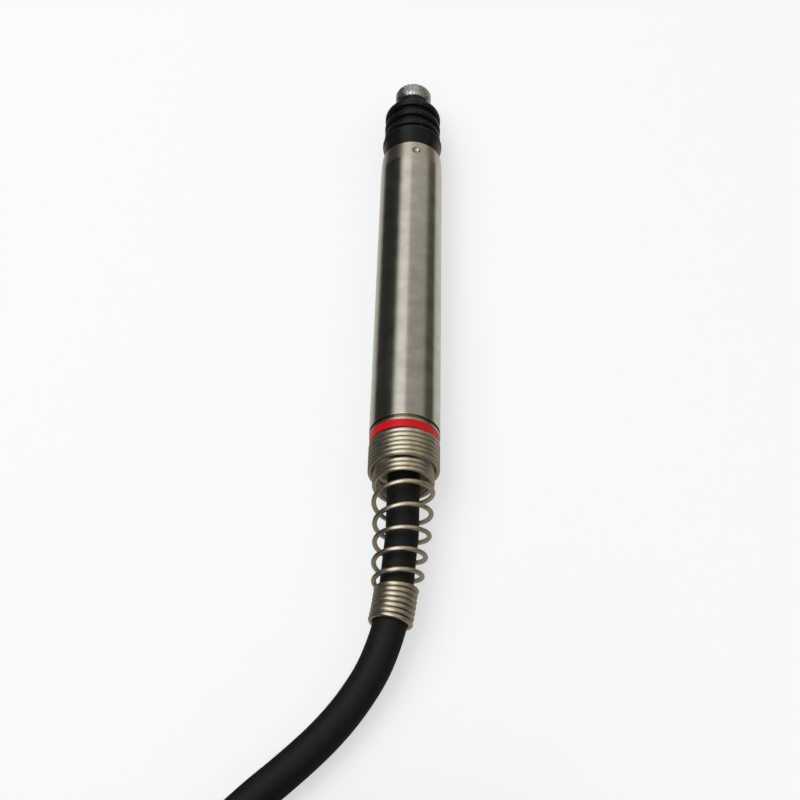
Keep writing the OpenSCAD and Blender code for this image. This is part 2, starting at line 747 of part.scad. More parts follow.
module plug_grip() {
  flutes = 16;
  flute_r = 0.6;
  shoulder = 2.2;
  color("darkgray") lay_plug() difference() {
    turned([[boot_neck_r + fit_gap, grip_rear], [boot_neck_r + 2, grip_rear], [grip_r, grip_rear + shoulder],
      [grip_r, grip_front - 0.4], [grip_r - 0.4, grip_front], [grip_bore_r, grip_front],
      [grip_bore_r, grip_rear + rear_wall], [boot_neck_r + fit_gap, grip_rear + rear_wall]]);
    for (i = [0:flutes - 1])
      rotate([0, 0, 360 * (i + 0.5) / flutes])
        translate([grip_r + flute_r / 2, 0, grip_rear + 2 * shoulder])
          cylinder(h = grip_len - 3 * shoulder, r = flute_r);
  }
}

module plug_shell() {
  inner_r = shell_neck_r - shell_wall;
  color("silver") lay_plug() turned([[inner_r, grip_front - shell_neck_len],
    [shell_neck_r, grip_front - shell_neck_len], [shell_neck_r, grip_front + fit_gap],
    [shell_r, grip_front + fit_gap], [shell_r, plug_front],
    [shell_r - shell_wall, plug_front], [shell_r - shell_wall, grip_front + shell_wall + fit_gap],
    [inner_r, grip_front + shell_wall + fit_gap]]);
}

// One place for each contact pin, over the upper half of the plug
module each_contact() {
  for (i = [0:contact_count - 1])
    rotate([0, 0, -contact_span * i]) translate([contact_pin_r, 0, 0]) children();
}

module plug_insert() {
  face = grip_front + shell_wall + 2 * fit_gap;
  rear = grip_front - shell_neck_len;
  color("#303030") lay_plug() difference() {
    turned([[0, rear], [insert_r, rear], [insert_r, face], [shell_r - shell_wall - fit_gap, face],
      [shell_r - shell_wall - fit_gap, face + insert_flange_t], [0, face + insert_flange_t]]);
    each_contact() translate([0, 0, rear - cut])
      cylinder(h = shell_neck_len + shell_len, d = contact_pin_d + fit_gap);
  }
}

module plug_pins() {
  color("gold") lay_plug() each_contact() translate([0, 0, grip_front - shell_neck_len - 0.5])
    cylinder(h = shell_neck_len + shell_len - 1.5, d = contact_pin_d);
}

body_tube();
front_bush();
guide_pin();
ball_cage();
bearing_balls();
plunger();
stop_ring();
return_spring();
contact_tip();
contact_ball();
gaiter();
spring_seat();
core_rod();
core();
bobbin();
front_secondary_coil();
primary_coil();
rear_secondary_coil();
shield_tube();
terminal_board();
solder_pins();
core_wires();
rear_housing();
o_ring();
red_ring();
crimp_ferrule();
strain_spring();
cable();
cable_hank();
cable_tail();
hank_tie();
plug_boot();
plug_grip();
plug_shell();
plug_insert();
plug_pins();
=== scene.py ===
"""Looks of a pencil gauging probe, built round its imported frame.

Lengths in the classes are millimetres. Along the probe they are measured from the stem's front
face, positive towards the contact ball, as in the part's source. Meshes are made in metres.
"""

from __future__ import annotations

import json
import logging
import math
from dataclasses import dataclass
from enum import Enum
from functools import cache
from typing import Callable, Sequence

import bpy
import numpy as np
from mathutils import Matrix, Vector

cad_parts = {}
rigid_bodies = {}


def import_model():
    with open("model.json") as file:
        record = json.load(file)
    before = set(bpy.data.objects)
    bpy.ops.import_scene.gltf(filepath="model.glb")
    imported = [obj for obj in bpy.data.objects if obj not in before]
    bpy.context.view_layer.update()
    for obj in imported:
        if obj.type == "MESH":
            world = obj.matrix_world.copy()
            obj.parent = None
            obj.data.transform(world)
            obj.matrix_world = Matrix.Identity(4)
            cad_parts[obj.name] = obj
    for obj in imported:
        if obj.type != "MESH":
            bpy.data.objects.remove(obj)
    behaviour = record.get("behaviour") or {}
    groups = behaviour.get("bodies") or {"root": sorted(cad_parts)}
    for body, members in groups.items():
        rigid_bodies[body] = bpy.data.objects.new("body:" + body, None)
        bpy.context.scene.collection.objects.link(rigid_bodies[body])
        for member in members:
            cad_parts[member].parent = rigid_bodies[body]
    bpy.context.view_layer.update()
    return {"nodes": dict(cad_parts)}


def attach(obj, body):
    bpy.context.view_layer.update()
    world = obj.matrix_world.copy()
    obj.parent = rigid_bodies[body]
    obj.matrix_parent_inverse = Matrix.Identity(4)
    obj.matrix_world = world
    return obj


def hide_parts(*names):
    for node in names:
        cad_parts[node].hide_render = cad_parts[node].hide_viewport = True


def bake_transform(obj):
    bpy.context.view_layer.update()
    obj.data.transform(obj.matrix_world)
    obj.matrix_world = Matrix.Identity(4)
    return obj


LOG = logging.getLogger("probe")
MM = 0.001

# A radius below this is a point on the axis.
TINY = 1e-6
# Edges that turn more than this stay sharp.
SHARP_DEG = 35.0

Point2 = tuple[float, float]
Point3 = tuple[float, float, float]
# Radius from an axis, place along it, and rounding of one corner of an outline.
Corner = tuple[float, float, float]
# Places, each with its sRGB colour.
Stops = Sequence[tuple[float, str]]


class Body(str, Enum):
    """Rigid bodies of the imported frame."""

    BARREL = "barrel"
    PLUNGER = "plunger_unit"


def linear(hex_colour: str) -> tuple[float, float, float, float]:
    """Turn an sRGB hex value into a linear colour.

    Args:
        hex_colour: Six digits after a hash sign.

    Returns:
        Linear red, green, blue and an alpha of 1.
    """
    parts = [int(hex_colour[i : i + 2], 16) / 255 for i in (1, 3, 5)]
    rgb = [c / 12.92 if c <= 0.04045 else ((c + 0.055) / 1.055) ** 2.4 for c in parts]
    return (rgb[0], rgb[1], rgb[2], 1.0)


def add(
    tree: bpy.types.NodeTree, kind: str, inputs: dict | None = None, **settings: object
) -> bpy.types.Node:
    """Add one node with its settings, and set or link its inputs.

    Args:
        tree: Node tree that gets the node.
        kind: Blender's name of the node type.
        inputs: Input names or numbers, each with a value or a socket to link.
        settings: Attributes of the node.

    Returns:
        The new node.
    """
    node = tree.nodes.new(kind)
    for key, value in settings.items():
        setattr(node, key, value)
    for key, value in (inputs or {}).items():
        if isinstance(value, bpy.types.NodeSocket):
            tree.links.new(value, node.inputs[key])
        else:
            node.inputs[key].default_value = value
    return node


# Sockets of the mix node that carry colours: share of the second, first, second, and the result.
MIX_SHARE, MIX_FIRST, MIX_SECOND, MIX_RESULT = 0, 6, 7, 2


def fill(ramp: bpy.types.ColorRamp, stops: Stops) -> None:
    """Give a colour ramp its stops.

    Args:
        ramp: Ramp to fill.
        stops: Place from 0 to 1 and colour of each stop, in order.
    """
    while len(ramp.elements) > 1:
        ramp.elements.remove(ramp.elements[-1])
    for i, (place, colour) in enumerate(stops):
        element = ramp.elements[0] if i == 0 else ramp.elements.new(place)
        element.position = place
        element.color = linear(colour)


def new_material(name: str) -> tuple[bpy.types.Material, bpy.types.NodeTree]:
    """Start a material.

    Args:
        name: Name of the material.

    Returns:
        The material and its node tree, still empty.
    """
    material = bpy.data.materials.new(name)
    material.use_nodes = True
    material.node_tree.nodes.clear()
    return material, material.node_tree


# Stretch of a pattern: the same each way, or marks that a tool left round the probe's axis.
EVEN = (1.0, 1.0, 1.0)
AROUND = (0.04, 1.0, 0.04)


@dataclass(frozen=True)
class Finish:
    """A surface: its colour, gloss, and a pattern that varies colour, gloss and relief.

    The pattern is noise in the frame's own millimetres. Its stretch gives the direction that the
    tool or die left: a small number draws the marks out along that axis. The slot is the record's.
    """

    name: str
    slot: str
    colour: str
    shade: str
    roughness: float
    spread: float
    grain_mm: float
    metallic: float = 0.0
    stretch: Point3 = EVEN
    relief_mm: float = 0.0
    detail: float = 3.0
    sheen: float = 0.0
    sheen_roughness: float = 0.4
    specular: float = 0.5
    colour_from: Point2 = (0.35, 0.65)
    gloss_from: Point2 = (0.3, 0.7)

    def build(self) -> bpy.types.Material:
        """Make the material from its nodes.

        Returns:
            The finished material.
        """
        material, tree = new_material(self.name)
        place = add(tree, "ShaderNodeTexCoord")
        scale = [share / (self.grain_mm * MM) for share in self.stretch]
        scaled = add(tree, "ShaderNodeMapping", {"Vector": place.outputs["Object"], "Scale": scale})
        noise = add(
            tree,
            "ShaderNodeTexNoise",
            {"Vector": scaled.outputs["Vector"], "Scale": 1.0, "Detail": self.detail},
        )
        pattern = noise.outputs["Fac"]
        low, high = self.colour_from
        share = add(tree, "ShaderNodeMapRange", {"Value": pattern, "From Min": low, "From Max": high})
        tint = add(
            tree,
            "ShaderNodeMix",
            {
                MIX_SHARE: share.outputs["Result"],
                MIX_FIRST: linear(self.shade),
                MIX_SECOND: linear(self.colour),
            },
            data_type="RGBA",
        )
        low, high = self.gloss_from
        rough = add(
            tree,
            "ShaderNodeMapRange",
            {
                "Value": pattern,
                "From Min": low,
                "From Max": high,
                "To Min": self.roughness - self.spread,
                "To Max": self.roughness + self.spread,
            },
        )
        inputs = {
            "Base Color": tint.outputs[MIX_RESULT],
            "Metallic": self.metallic,
            "Roughness": rough.outputs["Result"],
            "Specular IOR Level": self.specular,
            "Sheen Weight": self.sheen,
            "Sheen Roughness": self.sheen_roughness,
        }
        if self.relief_mm > 0:
            distance = self.relief_mm * MM
            bump = add(tree, "ShaderNodeBump", {"Height": pattern, "Strength": 1.0, "Distance": distance})
            inputs["Normal"] = bump.outputs["Normal"]
        shader = add(tree, "ShaderNodeBsdfPrincipled", inputs)
        add(tree, "ShaderNodeOutputMaterial", {"Surface": shader.outputs[0]})
        return material


# Stainless stem, centreless ground and satin: faint clouds and a fine grain in soft bands of light.
GROUND_STEEL = Finish(
    "ground_stainless_steel", "ground_steel", "#E2E0DB", "#D2D0CA",
    roughness=0.2, spread=0.02, grain_mm=2.0, metallic=1.0, relief_mm=0.001, detail=7.0,
)
# Stainless nose of the stem, turned and blasted: a dull even grey.
BLASTED_STEEL = Finish(
    "blasted_stainless_steel", "ground_steel", "#E2DCD3", "#D4CEC5",
    roughness=0.3, spread=0.04, grain_mm=0.12, metallic=1.0, relief_mm=0.002,
)
# Stainless rear end, turned: visible tool rings.
TURNED_STEEL = Finish(
    "turned_stainless_steel", "turned_steel", "#DCD7CC", "#C6C0B5",
    roughness=0.28, spread=0.05, grain_mm=0.18, metallic=1.0, stretch=AROUND, relief_mm=0.002,
)
# Groove in front of the land, turned steel in a darker brown: painted shade in the groove, a dark line,
# lighter on top.
GROOVE_PAINTED_SHADE = Finish(
    "groove_painted_shade", "turned_steel", "#8A8072", "#766D60",
    roughness=0.3, spread=0.06, grain_mm=0.2, metallic=1.0, stretch=AROUND, relief_mm=0.002,
)
# Bearing steel inside the guide, fine turned and oiled: faint rings under a soft shine.
BEARING_STEEL = Finish(
    "fine_turned_bearing_steel", "bearing_steel", "#C2C0BB", "#AFADA8",
    roughness=0.26, spread=0.05, grain_mm=0.2, metallic=1.0, stretch=AROUND, relief_mm=0.001,
)
# Hardened balls and core rod, polished: sharp bright reflections.
POLISHED_STEEL = Finish(
    "polished_hard_steel", "polished_steel", "#DADADA", "#CDCDCD",
    roughness=0.1, spread=0.03, grain_mm=0.6, metallic=1.0,
)
# Stop ring, oil-blackened spring steel: dark, with a dull gloss.
BLACK_STEEL = Finish(
    "blackened_spring_steel", "black_spring_steel", "#4A4A4C", "#3A3A3C",
    roughness=0.38, spread=0.08, grain_mm=0.4, metallic=1.0, relief_mm=0.001,
)
# Return spring, drawn steel wire: grey with a faint drawn grain.
SPRING_WIRE = Finish(
    "drawn_spring_wire", "spring_wire", "#B4B4B4", "#9C9C9C",
    roughness=0.26, spread=0.06, grain_mm=0.3, metallic=1.0, relief_mm=0.001,
)
# Contact point, steel with a rolled knurl: bright crests, dull flanks.
KNURLED_STEEL = Finish(
    "knurled_stainless_steel", "knurled_steel", "#D8DBE1", "#969A9F",
    roughness=0.24, spread=0.06, grain_mm=0.22, metallic=1.0, relief_mm=0.003,
)
# Contact ball, lapped tungsten carbide: dark grey and very smooth.
CARBIDE = Finish(
    "lapped_tungsten_carbide", "carbide", "#8C8C92", "#7C7C82",
    roughness=0.12, spread=0.03, grain_mm=0.5, metallic=1.0,
)
# Gaiter, moulded nitrile rubber: black, dull, with a dusty bloom.
GAITER_RUBBER = Finish(
    "moulded_nitrile_rubber", "gaiter_rubber", "#0E0E0E", "#090909",
    roughness=0.37, spread=0.08, grain_mm=0.5, relief_mm=0.006, detail=5.0, sheen=0.03, specular=0.25,
)
# Core and shield, annealed nickel iron: dull grey.
NICKEL_IRON = Finish(
    "annealed_nickel_iron", "nickel_iron", "#94918B", "#83807A",
    roughness=0.42, spread=0.06, grain_mm=0.4, metallic=1.0, stretch=AROUND, relief_mm=0.001,
)
# Bobbin, moulded PPS: dull tan.
BOBBIN_PLASTIC = Finish(
    "moulded_bobbin_plastic", "bobbin_plastic", "#C9B48C", "#BBA67E",
    roughness=0.5, spread=0.06, grain_mm=0.3, relief_mm=0.002,
)
# Terminal board, glass laminate: green, finely mottled by its cloth.
BOARD_LAMINATE = Finish(
    "glass_laminate", "board_laminate", "#3E6B45", "#33593A",
    roughness=0.4, spread=0.06, grain_mm=0.15, relief_mm=0.001,
)
# Ball cage and crimp ferrule, turned brass: yellow, with faint tool rings.
TURNED_BRASS = Finish(
    "turned_brass", "cage_brass", "#CDAA5B", "#B8954A",
    roughness=0.26, spread=0.06, grain_mm=0.2, metallic=1.0, stretch=AROUND, relief_mm=0.001,
)
# Solder and contact pins, gold plate: smooth and warm.
GOLD_PLATE = Finish(
    "gold_plated_pin", "gold_pin", "#E0BC62", "#D2AC52",
    roughness=0.2, spread=0.04, grain_mm=0.5, metallic=1.0,
)
# Stripped cores, extruded PVC: an even orange with a soft shine.
CORE_PVC = Finish(
    "core_insulation_pvc", "core_insulation", "#C7552B", "#B4481F",
    roughness=0.42, spread=0.05, grain_mm=0.3, relief_mm=0.001,
)
# O-ring, moulded rubber: dull black.
SEAL_RUBBER = Finish(
    "moulded_seal_rubber", "black_rubber", "#19191A", "#111112",
    roughness=0.45, spread=0.06, grain_mm=0.3, relief_mm=0.002,
)
# Marking ring, turned acetal: smooth and red.
RED_ACETAL = Finish(
    "red_acetal", "red_plastic", "#C0121A", "#B00E15",
    roughness=0.36, spread=0.05, grain_mm=0.6, stretch=AROUND, relief_mm=0.001, specular=0.3,
)
# Strain-relief spring, nickel-plated wire: warm bright crests.
NICKEL_WIRE = Finish(
    "nickel_plated_wire", "nickel_spring", "#DED8CD", "#CEC8BC",
    roughness=0.33, spread=0.04, grain_mm=0.6, metallic=1.0,
)
# Cable jacket, extruded PUR: matt black with a faint grain.
PUR_JACKET = Finish(
    "extruded_pur_jacket", "black_jacket", "#131313", "#0E0E0E",
    roughness=0.56, spread=0.06, grain_mm=0.6, relief_mm=0.006, detail=4.0, specular=0.26,
)
# Tie, hook-and-loop tape: short black pile.
TAPE_PILE = Finish(
    "hook_and_loop_tape", "tie_nylon", "#29292B", "#1A1A1B",
    roughness=0.85, spread=0.05, grain_mm=0.35, relief_mm=0.05, detail=4.0, sheen=0.3,
)
# Plug boot, moulded rubber: dull black with a faint bloom.
BOOT_RUBBER = Finish(
    "moulded_boot_rubber", "boot_rubber", "#202022", "#171718",
    roughness=0.5, spread=0.06, grain_mm=0.5, relief_mm=0.005, detail=4.0, sheen=0.06,
)
# Plug shell and grip, satin nickel plate on turned brass: fine rings under a soft shine.
SATIN_NICKEL = Finish(
    "satin_nickel_plate", "plug_nickel", "#C6C4BE", "#B6B4AD",
    roughness=0.24, spread=0.05, grain_mm=0.22, metallic=1.0, stretch=AROUND, relief_mm=0.001,
)
# Plug insert, moulded thermoset: dark grey and dull.
INSERT_PLASTIC = Finish(
    "moulded_insert_plastic", "plug_plastic", "#2D2D2F", "#242426",
    roughness=0.42, spread=0.05, grain_mm=0.4, relief_mm=0.002,
)


@dataclass(frozen=True)
class Winding:
    """Enamelled copper wire, wound in close turns: fine bright rings across a brown body.

    The wire of such a coil is about 0.06 mm: it is drawn at 0.2 mm so that its turns show.
    """

    name: str = "enamelled_copper_winding"
    slot: str = "copper_winding"
    light: str = "#C4743C"
    dark: str = "#7A3A1A"
    wire_mm: float = 0.2
    metallic: float = 0.6
    roughness: float = 0.32
    # One wave of the wave texture takes this length at a scale of 1.
    wave: float = math.pi / 10

    def build(self) -> bpy.types.Material:
        """Make the material, with one ring of light and shade for each turn.

        Returns:
            The finished material.
        """
        material, tree = new_material(self.name)
        turn = self.wire_mm * MM
        place = add(tree, "ShaderNodeTexCoord")
        rings = add(
            tree,
            "ShaderNodeTexWave",
            {"Vector": place.outputs["Object"], "Scale": self.wave / turn},
            bands_direction="Y",
        )
        ramp = add(tree, "ShaderNodeValToRGB", {"Fac": rings.outputs["Fac"]})
        fill(ramp.color_ramp, [(0.0, self.dark), (1.0, self.light)])
        bump = add(tree, "ShaderNodeBump", {"Height": rings.outputs["Fac"], "Distance": turn / 4})
        shader = add(
            tree,
            "ShaderNodeBsdfPrincipled",
            {
                "Base Color": ramp.outputs["Color"],
                "Metallic": self.metallic,
                "Roughness": self.roughness,
                "Normal": bump.outputs["Normal"],
            },
        )
        add(tree, "ShaderNodeOutputMaterial", {"Surface": shader.outputs[0]})
        return material


@cache
def paint(finish: Finish | Winding) -> bpy.types.Material:
    """Give the material of a finish, made on first use."""
    return finish.build()


# Shares of an outline's side: room for a rounding with its support point, and the rounding's own
# part of that room. The support point lies a little past the rounding.
SIDE_ROOM = 0.49
ROUNDING_PART = 0.9
SUPPORT_REACH = 1.1


def rounded(corners: Sequence[Corner], closed: bool = True, steps: int = 4) -> list[Point2]:
    """Round the corners of an outline.

    Args:
        corners: Radius from the axis, place along it and rounding of each corner.
        closed: Whether the outline runs back to its first corner.
        steps: Short lines in each rounded corner.

    Returns:
        Radius and place of each point, with one more point close to each end of a rounding, so
        that the flats beside it shade flat.
    """
    points: list[Point2] = []
    count = len(corners)
    for i, (r, s, fillet) in enumerate(corners):
        here = np.array([r, s])
        if fillet <= 0 or (not closed and i in (0, count - 1)):
            points.append((r, s))
            continue
        back = np.array(corners[i - 1][:2]) - here
        ahead = np.array(corners[(i + 1) % count][:2]) - here
        room = SIDE_ROOM * min(np.linalg.norm(back), np.linalg.norm(ahead))
        back, ahead = back / np.linalg.norm(back), ahead / np.linalg.norm(ahead)
        half = math.acos(max(-1.0, min(1.0, float(back @ ahead)))) / 2
        reach = min(fillet / math.tan(half), room * ROUNDING_PART)
        size = reach * math.tan(half)
        centre = here + (back + ahead) / np.linalg.norm(back + ahead) * size / math.sin(half)
        support = min(reach * SUPPORT_REACH, room)
        points.append(tuple(here + back * support))
        first, last = here + back * reach - centre, here + ahead * reach - centre
        sweep = math.acos(max(-1.0, min(1.0, float(first @ last) / size**2)))
        for k in range(steps + 1):
            t = k / steps
            mixed = math.sin((1 - t) * sweep) * first + math.sin(t * sweep) * last
            points.append(tuple(centre + mixed / math.sin(sweep)))
        points.append(tuple(here + ahead * support))
    return [(float(r), float(s)) for r, s in points]


@dataclass(frozen=True)
class Axis:
    """Straight axis along the frame's Y, for turned pieces."""

    x: float
    y: float
    z: float

    def at(self, r: float, s: float, turn: float) -> Point3:
        """Place in metres of a point at a radius, a length and a turn from the top towards +X."""
        across, up = r * math.sin(turn), r * math.cos(turn)
        return ((self.x + across) * MM, (self.y + s) * MM, (self.z + up) * MM)


STEM_AXIS = Axis(0.0, 17.035, 4.0)


def piece_of(
    name: str, vertices: Sequence, faces: Sequence, sharp_deg: float = SHARP_DEG
) -> bpy.types.Object:
    """Make a smooth-shaded mesh object, with its sharp edges kept.

    Args:
        name: Name of the piece.
        vertices: Places in metres.
        faces: Vertex numbers of each face.
        sharp_deg: Edges that turn more than this stay sharp.

    Returns:
        The object, linked to the scene.
    """
    mesh = bpy.data.meshes.new(name)
    mesh.from_pydata([tuple(v) for v in vertices], [], [tuple(f) for f in faces])
    mesh.validate()
    mesh.shade_smooth()
    mesh.set_sharp_from_angle(angle=math.radians(sharp_deg))
    piece = bpy.data.objects.new(name, mesh)
    bpy.context.scene.collection.objects.link(piece)
    return piece


def turned(
    name: str,
    outline: Sequence[Point2],
    axis: Axis,
    segments: int = 160,
    closed: bool = True,
    shift: Callable[[float, float, float], float] | None = None,
) -> bpy.types.Object:
    """Turn an outline round an axis.

    Args:
        name: Name of the piece.
        outline: Radius and place of each point, the outside seen with the front on the left.
        axis: Axis to turn round.
        segments: Steps round the axis.
        closed: Whether the last point joins the first one.
        shift: Radius to add, from a point's radius, place and turn.

    Returns:
        The new piece.
    """
    vertices: list[Point3] = []
    rings: list[list[int]] = []
    for r, s in outline:
        if r < TINY:
            rings.append([len(vertices)] * segments)
            vertices.append(axis.at(0, s, 0))
            continue
        rings.append(list(range(len(vertices), len(vertices) + segments)))
        for k in range(segments):
            turn = 2 * math.pi * k / segments
            vertices.append(axis.at(r + (shift(r, s, turn) if shift else 0.0), s, turn))
    faces = []
    pairs = list(zip(rings, rings[1:])) + ([(rings[-1], rings[0])] if closed else [])
    for a, b in pairs:
        for k in range(segments):
            n = (k + 1) % segments
            corners = [a[k], a[n], b[n], b[k]]
            kept = [c for i, c in enumerate(corners) if c != corners[i - 1]]
            if len(kept) > 2:
                faces.append(kept)
    return piece_of(name, vertices, faces)


def ring_faces(rings: int, sides: int, closed: bool) -> list[list[int]]:
    """Number the faces between rings of vertices that follow each other.

    Args:
        rings: Count of the rings.
        sides: Vertices in each ring.
        closed: Whether the last ring joins the first one.

    Returns:
        Vertex numbers of each face.
    """
    faces: list[list[int]] = []
    for i in range(rings if closed else rings - 1):
        a, b = i * sides, (i + 1) % rings * sides
        for k in range(sides):
            n = (k + 1) % sides
            faces.append([a + k, a + n, b + n, b + k])
    return faces


def unit(rows: np.ndarray) -> np.ndarray:
    """Scale each row to a length of 1."""
    return rows / np.linalg.norm(rows, axis=1)[:, None]


def ease(t: float) -> float:
    """Share of a soft change from 0 to 1, with a level start and end."""
    t = min(1.0, max(0.0, t))
    return t * t * (3 - 2 * t)


def smooth_line(points: Sequence, step: float) -> np.ndarray:
    """Draw a smooth line through points.

    Args:
        points: Points to pass through.
        step: Length between the points of the line.

    Returns:
        Points of the line.
    """
    p = np.array(points, float)
    p = np.vstack([2 * p[0] - p[1], p, 2 * p[-1] - p[-2]])
    found = []
    for a, b, c, d in zip(p, p[1:], p[2:], p[3:]):
        count = max(1, int(np.ceil(np.linalg.norm(c - b) / step)))
        for t in np.arange(count) / count:
            doubled = 2 * b + (c - a) * t + (2 * a - 5 * b + 4 * c - d) * t**2
            doubled += (3 * b - a - 3 * c + d) * t**3
            found.append(0.5 * doubled)
    found.append(p[-2])
    return np.array(found)


def wire(
    name: str, line: np.ndarray, outward: np.ndarray, radius: float, sides: int, sharp_deg: float = 60.0
) -> bpy.types.Object:
    """Draw a round wire along a coil.

    Args:
        name: Name of the piece.
        line: Middle of the wire, in millimetres.
        outward: Direction from the coil's axis at each point.
        radius: Radius of the wire.
        sides: Sides of its section.
        sharp_deg: Edges that turn more than this stay sharp.

    Returns:
        The new piece.
    """
    ahead = unit(np.gradient(line, axis=0))
    a = unit(outward - np.sum(outward * ahead, axis=1)[:, None] * ahead)
    b = np.cross(ahead, a)
    angles = 2 * np.pi * np.arange(sides) / sides
    across = np.cos(angles)[None, :, None] * a[:, None] + np.sin(angles)[None, :, None] * b[:, None]
    vertices = (line[:, None] + radius * across).reshape(-1, 3) * MM
    faces = ring_faces(len(line), sides, closed=False)
    faces.append(list(range(sides))[::-1])
    faces.append([(len(line) - 1) * sides + k for k in range(sides)])
    return piece_of(name, vertices, faces, sharp_deg)


def dress(piece: bpy.types.Object, finish: Finish | Winding) -> None:
    """Give a piece its finish.

    Args:
        piece: Piece or CAD node to dress.
        finish: What its surface is.
    """
    piece.data.materials.clear()
    piece.data.materials.append(paint(finish))


def seat(piece: bpy.types.Object, finish: Finish, body: Body, *nodes: str) -> bpy.types.Object:
    """Dress a piece, let it ride on a body in place of CAD nodes, and report it.

    Args:
        piece: Piece to seat.
        finish: What its surface is.
        body: Body that carries it.
        nodes: CAD nodes that it stands for.

    Returns:
        The same piece.
    """
    dress(piece, finish)
    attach(piece, body.value)
    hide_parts(*nodes)
    LOG.info("%s stands for %s", piece.name, ", ".join(nodes))
    return piece


def bend(piece: bpy.types.Object, finish: Finish, node: str) -> None:
    """Dress a piece, bake its place into its mesh in place of a CAD node, and report it.

    Args:
        piece: Piece that bends.
        finish: What its surface is.
        node: CAD node that it stands for.
    """
    dress(piece, finish)
    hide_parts(node)
    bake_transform(piece)
    LOG.info("%s stands for %s", piece.name, node)


